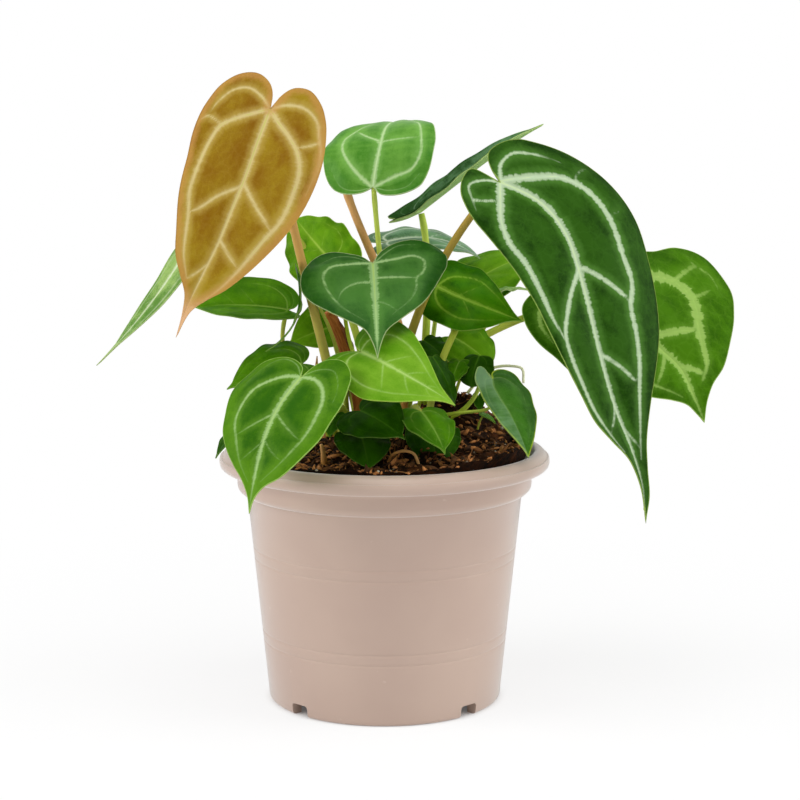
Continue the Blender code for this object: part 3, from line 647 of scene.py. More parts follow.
# Margins of the leaves whose outline is their own: points of the left and of the right half from
# the notch to the tip, then of the midrib, as (share of the length, share of the half width).
# The shared ends, at the notch and at the tip, are left out.
OUTLINES = {
    "leaf_bronze": (
        ((-0.06, 0.05), (-0.12, 0.2), (-0.13, 0.38), (-0.09, 0.62), (-0.03, 0.78), (0.05, 0.9),
         (0.15, 0.99), (0.33, 1.02), (0.5, 0.9), (0.6, 0.76), (0.7, 0.58), (0.77, 0.42), (0.83, 0.22),
         (0.88, 0.09)),
        ((-0.05, -0.05), (-0.1, -0.17), (-0.13, -0.42), (-0.1, -0.78), (-0.05, -0.95), (0.05, -1.05),
         (0.2, -1.08), (0.32, -0.97), (0.5, -0.8), (0.6, -0.65), (0.7, -0.48), (0.77, -0.28), (0.83, -0.11),
         (0.9, -0.04)),
        ((0.15, 0.04), (0.3, 0.09), (0.45, 0.1), (0.6, 0.1), (0.75, 0.05), (0.9, 0))),
    "leaf_large_right": (
        ((-0.04, 0.12), (-0.065, 0.3), (-0.055, 0.46), (-0.03, 0.62), (0.02, 0.79), (0.08, 0.95),
         (0.16, 1.05), (0.24, 1.04), (0.33, 0.93), (0.42, 0.82), (0.5, 0.7), (0.6, 0.52), (0.7, 0.36),
         (0.78, 0.27), (0.85, 0.23), (0.93, 0.17)),
        ((-0.05, 0.02), (-0.085, 0), (-0.095, -0.2), (-0.08, -0.47), (-0.05, -0.63), (-0.01, -0.77),
         (0.05, -0.91), (0.13, -1.02), (0.22, -1.07), (0.35, -1.05), (0.47, -0.98), (0.58, -0.8),
         (0.66, -0.63), (0.73, -0.47), (0.78, -0.25), (0.83, -0.02), (0.88, 0.06), (0.94, 0.07)),
        ((0.1, 0.06), (0.2, -0.03), (0.3, -0.17), (0.4, -0.24), (0.5, -0.25), (0.6, -0.2), (0.7, -0.1),
         (0.8, 0.05), (0.9, 0.11))),
    "leaf_right_back": (
        ((-0.03, 0.1), (-0.05, 0.3), (-0.03, 0.5), (0.04, 0.65), (0.1, 0.71), (0.17, 0.82), (0.24, 1.06),
         (0.35, 1.2), (0.49, 1.12), (0.6, 0.87), (0.7, 0.6), (0.78, 0.4), (0.84, 0.2), (0.91, 0.08)),
        ((-0.14, -0.1), (-0.24, -0.28), (-0.26, -0.5), (-0.2, -0.68), (-0.1, -0.82), (0.05, -0.92),
         (0.2, -1), (0.4, -1), (0.55, -0.88), (0.7, -0.68), (0.8, -0.48), (0.85, -0.3), (0.9, -0.14),
         (0.95, -0.07)),
        ((0.3, -0.1), (0.55, -0.1), (0.7, -0.04), (0.85, -0.04))),
    "leaf_top": (
        ((-0.03, 0.12), (-0.05, 0.35), (-0.03, 0.6), (0.03, 0.8), (0.12, 0.93), (0.25, 1), (0.4, 1),
         (0.55, 0.9), (0.7, 0.72), (0.82, 0.45), (0.9, 0.2)),
        ((-0.06, -0.12), (-0.09, -0.35), (-0.07, -0.65), (0, -0.88), (0.1, -1), (0.25, -1.06), (0.4, -1.04),
         (0.55, -0.95), (0.7, -0.75), (0.82, -0.48), (0.9, -0.2)),
        ((0.3, -0.06), (0.6, -0.04))),
    "leaf_front_right": (
        ((-0.06, 0.06), (-0.1, 0.2), (-0.11, 0.43), (-0.07, 0.68), (0, 0.85), (0.1, 0.94), (0.25, 0.95),
         (0.4, 0.88), (0.55, 0.73), (0.7, 0.52), (0.85, 0.27), (0.95, 0.08)),
        ((-0.08, -0.04), (-0.15, -0.02), (-0.19, -0.1), (-0.18, -0.22), (-0.13, -0.36), (-0.04, -0.53),
         (0.1, -0.66), (0.3, -0.69), (0.5, -0.62), (0.68, -0.43), (0.83, -0.22), (0.93, -0.07)),
        ((0.1, -0.12), (0.25, -0.15), (0.45, -0.1), (0.7, -0.05))),
    "leaf_bright_left": (
        ((-0.12, 0.12), (-0.28, 0.38), (-0.27, 0.7), (-0.12, 0.94), (0.1, 1), (0.35, 0.92), (0.62, 0.7),
         (0.85, 0.42), (0.95, 0.18)),
        ((-0.15, -0.1), (-0.36, -0.32), (-0.42, -0.6), (-0.3, -0.76), (-0.05, -0.8), (0.2, -0.84),
         (0.3, -0.74), (0.45, -0.68), (0.6, -0.5), (0.8, -0.3)),
        ((0.5, 0),)),
    "leaf_heart": (
        ((-0.1, 0.07), (-0.2, 0.2), (-0.28, 0.4), (-0.31, 0.62), (-0.25, 0.87), (-0.12, 1), (0, 1),
         (0.1, 0.94), (0.3, 0.8), (0.5, 0.6), (0.65, 0.32), (0.75, 0.14), (0.88, 0.05)),
        ((-0.07, -0.12), (-0.11, -0.32), (-0.13, -0.58), (-0.06, -0.8), (0.1, -0.94), (0.28, -0.97),
         (0.45, -0.85), (0.55, -0.65), (0.65, -0.4), (0.75, -0.15), (0.88, -0.05)),
        ((0.5, 0),)),
    "leaf_front_left": (
        ((-0.1, 0.07), (-0.18, 0.22), (-0.2, 0.45), (-0.15, 0.65), (-0.08, 0.77), (0, 0.83), (0.12, 0.88),
         (0.3, 0.88), (0.5, 0.8), (0.68, 0.6), (0.78, 0.4), (0.84, 0.18), (0.9, 0.07)),
        ((-0.07, -0.08), (-0.11, -0.25), (-0.12, -0.48), (-0.09, -0.72), (-0.03, -0.93), (0.1, -1.06),
         (0.3, -1.05), (0.45, -0.9), (0.6, -0.65), (0.7, -0.43), (0.8, -0.2), (0.9, -0.06)),
        ((0.25, -0.04), (0.5, -0.03), (0.75, 0))),
    "leaf_mid_right": (
        ((-0.09, 0.1), (-0.17, 0.3), (-0.18, 0.55), (-0.1, 0.8), (0.05, 0.95), (0.2, 1), (0.35, 0.95),
         (0.5, 0.77), (0.75, 0.3), (0.9, 0.07)),
        ((-0.09, -0.1), (-0.17, -0.3), (-0.18, -0.55), (-0.1, -0.8), (0.05, -1), (0.2, -1.07), (0.4, -1.08),
         (0.55, -0.95), (0.7, -0.65), (0.85, -0.25), (0.94, -0.07)),
        ((0.25, -0.1), (0.5, -0.12), (0.75, -0.08))),
    "leaf_left": (
        ((-0.08, 0.1), (-0.14, 0.3), (-0.12, 0.5), (0, 0.75), (0.13, 0.9), (0.3, 1), (0.5, 1), (0.7, 0.85),
         (0.85, 0.55), (0.95, 0.22)),
        ((-0.08, -0.12), (-0.12, -0.35), (-0.06, -0.63), (0.1, -0.85), (0.3, -0.92), (0.45, -0.9),
         (0.6, -0.78), (0.75, -0.52), (0.9, -0.18)),
        ((0.5, 0.05),)),
    "leaf_lime_front": (
        ((-0.1, 0.08), (-0.18, 0.3), (-0.19, 0.55), (-0.1, 0.8), (0.05, 0.88), (0.2, 0.8), (0.35, 0.66),
         (0.5, 0.5), (0.65, 0.32), (0.82, 0.12)),
        ((-0.1, -0.08), (-0.18, -0.27), (-0.2, -0.5), (-0.12, -0.7), (0.05, -0.79), (0.25, -0.81),
         (0.4, -0.83), (0.5, -0.78), (0.6, -0.66), (0.7, -0.5), (0.8, -0.3), (0.92, -0.08)),
        ((0.5, -0.04),)),
}
OUTLINE_STARTS = (0.02, -0.02, 0)    # how far to the left each of the three starts, at the notch

# Veins of the same leaves besides the midrib: widths in mm at the start and the end, then points.
VEINS = {
    "leaf_bronze": (
        (1.9, 1.3, ((0, 0), (0.05, 0.2), (0.1, 0.45), (0.15, 0.63), (0.2, 0.73), (0.32, 0.8), (0.46, 0.77),
         (0.52, 0.69), (0.6, 0.6), (0.68, 0.5), (0.76, 0.37), (0.84, 0.18))),
        (1.5, 0.7, ((0, 0), (-0.035, 0.2), (-0.045, 0.45), (-0.01, 0.68), (0.05, 0.8), (0.09, 0.88),
         (0.17, 0.96), (0.3, 0.96))),
        (1, 1, ((0.07, 0.83), (0.1, 0.73), (0.125, 0.6))),
        (1.4, 1.2, ((0.33, 0.09), (0.4, 0.35), (0.49, 0.74))),
        (1.2, 1, ((0.58, 0.1), (0.63, 0.3), (0.67, 0.5))),
        (1.9, 1.3, ((0, 0), (0.05, -0.25), (0.1, -0.5), (0.14, -0.65), (0.2, -0.71), (0.35, -0.72),
         (0.45, -0.67), (0.52, -0.56), (0.6, -0.47), (0.68, -0.37), (0.77, -0.17))),
        (1.4, 0.8, ((0, 0), (-0.04, -0.25), (-0.055, -0.5), (-0.03, -0.7), (0.04, -0.86), (0.11, -0.93))),
        (1.1, 0.8, ((0.135, -0.64), (0.12, -0.8), (0.115, -0.93), (0.14, -1.04))),
        (1.4, 1.2, ((0.35, 0.1), (0.42, -0.2), (0.5, -0.45), (0.52, -0.56))),
        (1, 0.8, ((0.69, 0.07), (0.74, -0.06), (0.78, -0.2))),
    ),
    "leaf_large_right": (
        (1.8, 0.9, ((0, 0.02), (0.05, 0.28), (0.1, 0.55), (0.14, 0.65), (0.2, 0.66), (0.25, 0.6),
         (0.3, 0.52), (0.38, 0.47), (0.43, 0.34), (0.5, 0.32), (0.58, 0.29), (0.65, 0.24), (0.74, 0.2),
         (0.83, 0.16))),
        (0.5, 0.3, ((0.12, 0.63), (0.115, 0.8), (0.12, 0.96))),
        (0.4, 0.3, ((0.21, 0.66), (0.22, 0.76), (0.22, 0.85))),
        (1.1, 0.5, ((0, 0.03), (-0.02, 0.22), (-0.012, 0.4), (0.03, 0.6), (0.08, 0.74))),
        (1.3, 1.3, ((0.29, -0.16), (0.35, 0.08), (0.42, 0.35))),
        (1.1, 0.8, ((0.55, -0.22), (0.59, 0.03), (0.635, 0.24))),
        (0.7, 0.5, ((0.74, -0.05), (0.77, 0.06), (0.8, 0.17))),
        (1.7, 1.4, ((0, 0), (0.02, -0.3), (0.05, -0.6), (0.1, -0.79), (0.2, -0.87), (0.35, -0.9),
         (0.44, -0.87), (0.5, -0.77))),
        (1.4, 0.8, ((0.3, -0.17), (0.36, -0.45), (0.42, -0.62), (0.49, -0.74), (0.56, -0.7), (0.63, -0.59),
         (0.7, -0.46), (0.76, -0.27), (0.81, -0.07))),
        (0.7, 0.6, ((0.68, -0.12), (0.72, -0.16), (0.76, -0.26))),
        (0.9, 0.5, ((0, 0), (-0.04, -0.1), (-0.07, -0.3), (-0.045, -0.48), (-0.02, -0.62))),
        (0.8, 0.7, ((-0.04, -0.48), (-0.015, -0.42), (0.02, -0.3))),
    ),
    "leaf_right_back": (
        (2.2, 1, ((0, 0), (0.12, 0.28), (0.22, 0.48), (0.33, 0.62), (0.42, 0.63), (0.5, 0.53), (0.57, 0.4),
         (0.66, 0.31), (0.74, 0.24), (0.8, 0.12))),
        (0.7, 0.3, ((0.33, 0.62), (0.335, 0.8), (0.33, 1), (0.28, 1.05))),
        (0.5, 0.3, ((0.35, 1), (0.42, 1.04), (0.5, 0.95))),
        (0.6, 0.3, ((0.44, 0.62), (0.455, 0.75), (0.46, 0.9))),
        (1.2, 1.2, ((0.46, -0.06), (0.52, 0.18), (0.57, 0.38))),
        (1, 0.8, ((0.69, -0.02), (0.74, 0.1), (0.78, 0.17))),
        (1.2, 0.6, ((0, 0), (0.08, -0.35), (0.2, -0.65), (0.35, -0.75), (0.55, -0.62), (0.72, -0.42),
         (0.85, -0.17))),
        (0.9, 0.6, ((0.3, -0.1), (0.38, -0.4), (0.44, -0.72))),
        (0.7, 0.5, ((0.58, -0.1), (0.66, -0.25), (0.73, -0.4))),
        (0.9, 0.6, ((0, 0), (-0.1, -0.2), (-0.16, -0.42), (-0.12, -0.62), (0, -0.78))),
        (1, 0.6, ((0, 0), (-0.02, 0.25), (0.04, 0.45), (0.14, 0.62))),
    ),
    "leaf_heart": (
        (1, 0.3, ((0, 0), (-0.03, 0.3), (-0.07, 0.58), (-0.03, 0.68), (0.05, 0.69), (0.15, 0.64),
         (0.2, 0.57), (0.32, 0.55), (0.44, 0.47), (0.6, 0.22))),
        (0.8, 0.6, ((0.19, 0), (0.2, 0.3), (0.21, 0.57))),
        (0.5, 0.2, ((0, 0.02), (-0.12, 0.18), (-0.22, 0.38), (-0.24, 0.6))),
        (1, 0.3, ((0, 0), (0.04, -0.35), (0.07, -0.56), (0.14, -0.65), (0.35, -0.61), (0.5, -0.48),
         (0.66, -0.15))),
        (0.8, 0.3, ((0.24, 0), (0.27, -0.25), (0.35, -0.42), (0.48, -0.5))),
        (0.35, 0.2, ((0, -0.02), (-0.06, -0.25), (-0.06, -0.5), (0.02, -0.72))),
        (0.5, 0.2, ((0.45, 0), (0.48, 0.12), (0.54, 0.24), (0.58, 0.3))),
    ),
    "leaf_front_left": (
        (1.1, 0.3, ((0, 0), (0.01, 0.3), (0.06, 0.47), (0.13, 0.57), (0.3, 0.64), (0.5, 0.57), (0.7, 0.33),
         (0.8, 0.12))),
        (0.6, 0.4, ((0.3, -0.04), (0.4, 0.24), (0.5, 0.56))),
        (0.4, 0.25, ((0.5, -0.03), (0.58, 0.14), (0.66, 0.37))),
        (1.1, 0.3, ((0, 0), (0.03, -0.25), (0.1, -0.5), (0.16, -0.64), (0.25, -0.71), (0.38, -0.72),
         (0.52, -0.54), (0.68, -0.32), (0.8, -0.1))),
        (0.6, 0.4, ((0.31, -0.04), (0.4, -0.28), (0.5, -0.55))),
        (0.4, 0.25, ((0.52, -0.03), (0.6, -0.18), (0.67, -0.33))),
        (0.4, 0.2, ((0, 0), (-0.08, 0.2), (-0.1, 0.42), (0, 0.66), (0.15, 0.75))),
        (0.4, 0.2, ((0, 0), (-0.08, -0.22), (-0.1, -0.5), (0, -0.8), (0.15, -0.92))),
    ),
    "leaf_top": (
        (1.2, 0.7, ((0, 0.02), (0.1, 0.3), (0.2, 0.5), (0.35, 0.66), (0.46, 0.65), (0.56, 0.5),
         (0.75, 0.3))),
        (0.9, 0.7, ((0.38, 0), (0.45, 0.25), (0.55, 0.48))),
        (1.1, 0.7, ((0, -0.02), (0.06, -0.4), (0.11, -0.7), (0.2, -0.82), (0.4, -0.78), (0.6, -0.65),
         (0.8, -0.35))),
        (0.8, 0.6, ((0.36, 0), (0.38, -0.35), (0.4, -0.76))),
        (0.4, 0.2, ((0, 0), (-0.02, 0.3), (0.02, 0.6), (0.15, 0.82))),
        (0.4, 0.2, ((0, 0), (-0.04, -0.3), (-0.02, -0.6), (0.08, -0.85))),
    ),
    "leaf_mid_right": (
        (0.8, 0.4, ((0, 0), (0.03, 0.15), (0.1, 0.38), (0.25, 0.52), (0.42, 0.54), (0.6, 0.36),
         (0.8, 0.1))),
        (0.5, 0.3, ((0.25, -0.1), (0.36, 0.2), (0.46, 0.5))),
        (0.8, 0.4, ((0, 0), (0.04, -0.32), (0.15, -0.6), (0.35, -0.74), (0.55, -0.62), (0.8, -0.25))),
        (0.5, 0.3, ((0.3, -0.1), (0.4, -0.35), (0.5, -0.64))),
    ),
}

# Veins of the other leaves, once in each half: widths, then points as (share along the margin,
# share from the midrib out to the margin). They are the lobe vein, the shoulder vein and side veins.
USUAL_VEINS = (
    (0.7, 0.25, ((0.05, 0.0), (0.3, 0.3), (0.42, 0.6), (0.54, 0.73), (0.68, 0.76), (0.82, 0.7),
                 (0.92, 0.45))),
    (0.4, 0.2, ((0.02, 0.0), (0.12, 0.4), (0.22, 0.68), (0.36, 0.84), (0.5, 0.88))),
    (0.5, 0.25, ((0.62, 0.0), (0.64, 0.35), (0.66, 0.75))),
    (0.45, 0.25, ((0.74, 0.0), (0.76, 0.35), (0.79, 0.72))),
    (0.35, 0.2, ((0.85, 0.0), (0.86, 0.3), (0.88, 0.6))),
)


def blade_length(leaf):
    """Length of the chord from the base to the tip."""
    return float(np.linalg.norm(np.subtract(leaf.tip, leaf.base)))


def blade_size(leaf):
    """Length and half width."""
    return blade_length(leaf), leaf.width / 2


def own_line(leaf, part):
    """The leaf's own left margin, right margin or midrib, flat, or None if it has no outline."""
    if leaf.name not in OUTLINES:
        return None
    points = ((0, OUTLINE_STARTS[part]), *OUTLINES[leaf.name][part], (1, 0))
    return np.array(points) * blade_size(leaf)


def blade_margin(leaf, steps, hand):
    """Margin of one half, from the notch round the lobe to the tip, flat, as (along, across)."""
    own = own_line(leaf, 0 if hand > 0 else 1)
    if own is not None:
        return even_points(own, sum(steps))
    length = blade_length(leaf)
    half = leaf.width / 2
    lobe = leaf.lobe * length * (1 + hand * leaf.lobe_skew)
    lobe_side = leaf.spread * leaf.width
    widest = leaf.widest * length
    tail = length * (1 - leaf.tail)
    neck = 0.05 * leaf.width
    arcs = (
        ((0, 0), (-0.35 * lobe, 0.02 * leaf.width),
         (-lobe, 0.40 * lobe_side), (-lobe, lobe_side)),
        ((-lobe, lobe_side), (-lobe, lobe_side + 0.6 * (half - lobe_side)),
         (widest - 0.55 * (widest + lobe), half), (widest, half)),
        ((widest, half), (widest + 0.42 * (tail - widest), half),
         (tail - 0.15 * (tail - widest), leaf.belly * half), (tail, neck)),
        ((tail, neck), (tail + 0.3 * (length - tail), 0.55 * neck),
         (tail + 0.7 * (length - tail), 0.3 * neck), (length, 0.0)),
    )
    curve = np.vstack([bezier(arc, count) for arc, count in zip(arcs, steps)])
    return curve * (1, hand)


def midrib_side(leaf, along):
    """How far to the left the midrib lies at places along the blade."""
    own = own_line(leaf, 2)
    if own is None:
        return np.zeros_like(along)
    return smooth_through(own, np.clip(along, 0, own[-1, 0]))[:, 0]


def blade_axes(leaf):
    """Chord, left and upper directions of a blade."""
    chord = unit(np.subtract(leaf.tip, leaf.base).astype(float))
    upper = unit(np.array([0, 0, 1.0]) - chord * chord[2])
    left = np.cross(upper, chord)
    turn = math.radians(leaf.roll)
    return (chord, left * math.cos(turn) + upper * math.sin(turn),
            upper * math.cos(turn) - left * math.sin(turn))


def blade_places(leaf, flat):
    """Places in space of the flat points (along, across) of a blade."""
    along = flat[:, 0]
    length = blade_length(leaf)
    chord, left, upper = blade_axes(leaf)
    share = np.clip(along / length, 0, 1)[:, None]
    crowd = 1 + leaf.early * (1 - 2 * share)
    rise = 4 * share * (1 - share) * crowd * length
    slope = 4 * (1 - 2 * share) * crowd - 8 * leaf.early * share * (1 - share)
    middle = (np.array(leaf.base, float) + chord * (share * length)
              + upper * (leaf.arch * rise) + left * (leaf.bow * rise))
    forward = unit(chord + upper * (leaf.arch * slope) + left * (leaf.bow * slope))
    side = unit(np.cross(upper, forward))
    normal = np.cross(forward, side)
    half = leaf.width / 2
    rib = midrib_side(leaf, along)
    across = flat[:, 1] - rib
    wide = np.abs(across) * (1 + np.sign(across) * leaf.skew)
    curl = math.radians(leaf.cup) + 1e-6
    fold = math.radians(leaf.fold)
    angle = curl * wide / half - fold
    out = rib + np.sign(across) * half / curl * (np.sin(angle) + math.sin(fold))
    up = half / curl * (np.cos(angle) - math.cos(fold))
    behind = np.minimum(along, 0.0)
    lobe = leaf.lobe * length
    up = up + leaf.lobe_lift * lobe * (behind / lobe)**2
    return middle + forward * behind[:, None] + side * out[:, None] + normal * up[:, None]


def blade_ribs(leaf, steps):
    """Where each rib leaves the midrib, and where it meets the left and the right margin."""
    ends = [blade_margin(leaf, steps, hand) for hand in (1, -1)]
    roots = [end[:, 0] - RIB_RAKE * np.abs(end[:, 1]) for end in ends]
    roots = np.maximum.accumulate(np.maximum(0.0, (roots[0] + roots[1]) / 2))
    roots = roots * blade_length(leaf) / roots[-1]
    return np.column_stack([roots, midrib_side(leaf, roots)]), ends


def blade_sheet(leaf, steps, columns):
    """Flat points, faces and boundary loop of a blade, each half a fan of ribs from the midrib."""
    roots, ends = blade_ribs(leaf, steps)
    midrib = {0.0: 0}
    flat = [(0.0, 0.0)]
    faces = []
    loops = []
    for root, side in roots:
        if root not in midrib:
            midrib[root] = len(flat)
            flat.append((root, side))
    tip = len(flat) - 1
    for hand, margin in zip((1, -1), ends):
        previous = None
        edge = []
        for spot, (root, side) in zip(margin, roots):
            rib = [midrib[root]]
            if rib[0] == tip:
                rib += [tip] * columns
            else:
                for column in range(1, columns + 1):
                    share = column / columns
                    flat.append((root + (spot[0] - root) * share, side + (spot[1] - side) * share))
                    rib.append(len(flat) - 1)
            if previous is None:
                edge += rib
            else:
                edge.append(rib[-1])
                for column in range(columns):
                    corners = dict.fromkeys((previous[column], previous[column + 1],
                                             rib[column + 1], rib[column]))
                    if len(corners) > 2:
                        faces.append(list(corners)[::-hand])
            previous = rib
        loops.append(list(dict.fromkeys(edge)))
    boundary = loops[0] + loops[1][-2:0:-1]
    return np.array(flat), faces, boundary


def usual_veins(leaf, steps):
    """Veins of a leaf without its own."""
    roots, ends = blade_ribs(leaf, steps)
    veins = []
    for start, end, points in USUAL_VEINS:
        for margin in ends:
            curve = []
            for along, out in points:
                index = min(int(along * len(roots)), len(roots) - 1)
                curve.append(roots[index] * (1 - out) + margin[index] * out)
            veins.append((start, end, np.array(curve)))
    return veins


def blade_veins(leaf, steps):
    """All veins of a blade: the widths of each at its start and its end, in mm, and its flat curve."""
    grow = leaf.ribs * (leaf.width / 40)**0.5
    midrib = np.linspace(0, MIDRIB_SHARE * blade_length(leaf), 60)
    start, end = MIDRIB_WIDTHS
    veins = [(start * grow, end * grow, np.column_stack([midrib, midrib_side(leaf, midrib)]))]
    for start, end, points in VEINS.get(leaf.name, ()):
        veins.append((start, end, with_start(np.array(points) * blade_size(leaf), 40)))
    if leaf.name not in VEINS:
        for start, end, points in usual_veins(leaf, steps):
            veins.append((start * grow, end * grow, with_start(points, 30)))
    return veins


def vein_fields(leaf, flat, steps):
    """How far each flat point lies outside the nearest vein, its place along it and its boldness."""
    best = np.full(len(flat), 99.0)
    comb = np.zeros((len(flat), 3))
    bold = np.zeros(len(flat))
    for number, (start, end, curve) in enumerate(blade_veins(leaf, steps)):
        gap, share = nearest(flat, curve)
        width = (start + (end - start) * share) * (1 - 0.6 * np.clip(share * 4 - 3, 0, 1))
        outside = gap - width / 2 * VEIN_CORE
        closer = outside < best
        best = np.where(closer, outside, best)
        place = share * run_along(curve)[-1] + 60 * number
        comb[closer] = np.column_stack([place, gap * 0.12, gap * 0])[closer]
        bold[closer] = width[closer]
    return best, comb, bold


def make_blade(leaf, material, replaces):
    """Blade as two skins and a rim: quilted between its veins, ribbed below, waved at its margin."""
    level = sum(leaf.width > limit for limit in BLADE_LEVELS)
    steps = [round(count * BLADE_DETAIL[level]) for count in MARGIN_STEPS]
    columns = round(RIB_COLUMNS * BLADE_DETAIL[level])
    flat, faces, boundary = blade_sheet(leaf, steps, columns)
    sheet = blade_places(leaf, flat)
    vein, comb, bold = vein_fields(leaf, flat, steps)
    edge, _ = nearest(flat, flat[boundary + boundary[:1]])
    length = blade_length(leaf)
    outer = np.clip(np.abs(flat[:, 1]) / (leaf.width / 2), 0, 1)**2
    phase = len(leaf.name) + np.where(flat[:, 1] > 0, 0.0, 1.7)
    wave = leaf.wave * outer * np.sin(math.tau * leaf.waves * flat[:, 0] / length + phase)
    swell = leaf.quilt * (1 - np.exp(-np.clip(vein, 0, None) / QUILT_REACH))
    swell = swell * np.clip(edge / QUILT_MARGIN, 0, 1)
    sheet = sheet + face_normals(sheet, faces) * (wave + swell)[:, None]
    normals = face_normals(sheet, faces)
    ridge = RIDGE_HEIGHT * np.clip(1 - np.clip(vein + RIDGE_SHOULDER, 0, None) / RIDGE_REACH, 0, 1)
    top = sheet + normals * (BLADE_THICKNESS / 2)
    bottom = sheet - normals * (BLADE_THICKNESS / 2 + ridge)[:, None]
    count = len(flat)
    faces += [[corner + count for corner in face[::-1]] for face in faces]
    for here, after in zip(boundary, boundary[1:] + boundary[:1]):
        faces.append([here + count, after + count, after, here])
    own_noise = float(sum(map(ord, leaf.name)))
    fields = {"vein": vein, "edge": edge, "share": flat[:, 0] / length, "bold": bold, "comb": comb,
              "hand": flat[:, 1] - midrib_side(leaf, flat[:, 0]),
              "flat": np.column_stack([flat, np.full(count, own_noise)])}
    values = {key: np.concatenate([field, field]) for key, field in fields.items()}
    values["under"] = np.repeat([0.0, 1.0], count)
    return add_piece("fine_" + leaf.name, np.vstack([top, bottom]), faces, material,
                     replaces, values)


# ---------------------------------------------------------------- stalks and stem

# Slot of each kind of stalk, and its colours at the foot, at the top and in its blush
STALKS = {
    "olive": ("stalk_olive_tissue", "9cac30", "b4bc50", "b4a844"),
    "lime": ("stalk_pale_tissue", "a4bc20", "c4d860", "bcc448"),
    "pale": ("stalk_pale_tissue", "e8ecb8", "f4f4d0", "ece8c0"),
    "brown": ("stalk_brown_tissue", "c88c48", "e0ac70", "cc9050"),
    "bronze": ("stalk_brown_tissue", "b4bc50", "d49c60", "c4a050"),
    "tan": ("stalk_olive_tissue", "a09838", "b09444", "a88840"),
}
STALK_SIDES = 14
STALK_STEPS = 26

STEM_FOOT = (-7, -5)
STEM_TOP = (-20, -4, 142)
STEM_RADII = (3.2, 2.0)
STEM_RISE = (-1, 0, 16)
STEM_BEND = (3, 0, 0)
STEM_SIDES = 20
STEM_STEPS = 60
STEM_SUNK = 1.5        # how far its foot is below the soil's surface
STEM_ARRIVAL = 12      # length of the pull that turns its top towards the bronze leaf
SCAR_HEIGHT = 0.07     # of the leaf scars round the stem, of its radius
SCAR_PACE = 40         # radians of the sine that sets them, from foot to top
BIT_STEPS = 24
BIT_SIDES = 10

# Loose ends between the stalks: kind, radius at the start and at the end, and route
BITS = (
    ("bent_stalk", "pale", 0.6, 0.45,
     ((30, 0, 112), (38.5, -4, 121.5), (45.5, -5, 122.5), (49.2, -6, 121.8), (49.9, -6, 116.5))),
    ("back_stalk", "olive", 1.25, 1.35,
     ((30, 6, 146), (26, -2, 136.5), (20.8, -11, 126), (17, -11, 112), (15, -10, 98))),
    ("thin_stalk", "lime", 0.7, 0.8,
     ((-14.5, -2, 146), (-13.8, -4, 138), (-12, -6, 130), (-8, -8, 120), (-6, -8, 100))),
    ("stipule", "brown", 0.9, 0.2, ((-24.4, -8, 120), (-24.2, -8, 123), (-24, -8, 126.5))),
    ("shoot", "brown", 1.3, 0.6, ((-21, -24, 90), (-21.5, -25, 95), (-22, -25.6, 97.5))),
    ("heap_stalk", "olive", 0.5, 0.4, ((31, 4, 98), (32.4, 3.4, 105), (34, 2, 110.5))),
    ("sprout_stalk", "olive", 0.4, 0.35, ((33, -7, 97), (34, -7.4, 102), (35.5, -8, 105.5))),
    ("surface_root", "brown", 0.5, 0.55,
     ((1.5, -33, 92.5), (3, -35, 95.5), (7, -36, 97), (10, -37, 96.5), (12.5, -38, 91.5))),
)

SOIL_EDGE_HEIGHT = 86.5
SOIL_MOUND = 17.0
SOIL_MOUND_SPREAD = 27.0
SOIL_BUMP = 0.7
CROWN_X = 14.0
CROWN_Y = 6.0


def soil_height(x, y):
    """Height of the soil's surface, mounded at the crown."""
    spread = (x - CROWN_X)**2 + (y - CROWN_Y)**2
    mound = SOIL_MOUND * np.exp(-spread / (2 * SOIL_MOUND_SPREAD**2))
    bumps = np.sin(x / 4.1 + 0.7) * np.sin(y / 3.7 + 0.3) + 0.5 * np.sin((x + y) / 2.9)
    return SOIL_EDGE_HEIGHT + mound + SOIL_BUMP * bumps


def tube(route, radii, sides):
    """Points, faces, and shares and flat plan of a closed tube along a route."""
    tangents = unit(np.gradient(route, axis=0))
    side = np.array([1.0, 0.0, 0.0])
    points = []
    shares = []
    plan = []
    run = run_along(route)
    for middle, along, radius, reach in zip(route, tangents, radii, run):
        side = unit(side - along * side.dot(along))
        across = np.cross(along, side)
        for step in range(sides):
            angle = math.tau * step / sides
            points.append(middle + (side * math.cos(angle) + across * math.sin(angle)) * radius)
            plan.append((reach, radius * math.cos(angle), radius * math.sin(angle)))
            shares.append(reach / run[-1])
    return points, closed_tube(ring_numbers(len(route), sides)), {"share": shares, "flat": plan}


def make_tube(name, route, radii, sides, material, replaces=()):
    """Piece that is a closed tube along a route."""
    points, faces, values = tube(route, radii, sides)
    return add_piece(name, points, faces, material, replaces, values)


def stalk_foot(leaf):
    """Middle of a stalk's lower end, just inside what it grows from."""
    if len(leaf.foot) == 3:
        return np.array(leaf.foot, float)
    return np.array([*leaf.foot, soil_height(*leaf.foot) - 0.5 * leaf.stalk])


def stalk_route(leaf):
    """Points along a stalk from its foot into the blade's base."""
    foot = stalk_foot(leaf)
    base = np.array(leaf.base, float)
    near = blade_places(leaf, np.array([[0.5, 0.0], [0.0, 0.5], [0.0, -0.5]]))
    forward = unit(near[0] - base)
    side = unit(near[1] - near[2])
    normal = np.cross(forward, side)
    arrive = unit(unit(base - foot) + 0.5 * normal)
    top = base - normal * (0.3 * leaf.stalk)
    span = np.linalg.norm(top - foot)
    pull = foot + np.array([0, 0, 0.35 * span]) + np.array(leaf.lean)
    push = top - arrive * (0.3 * span) + np.array(leaf.sway)
    return np.vstack([foot, bezier((foot, pull, push, top), STALK_STEPS)])


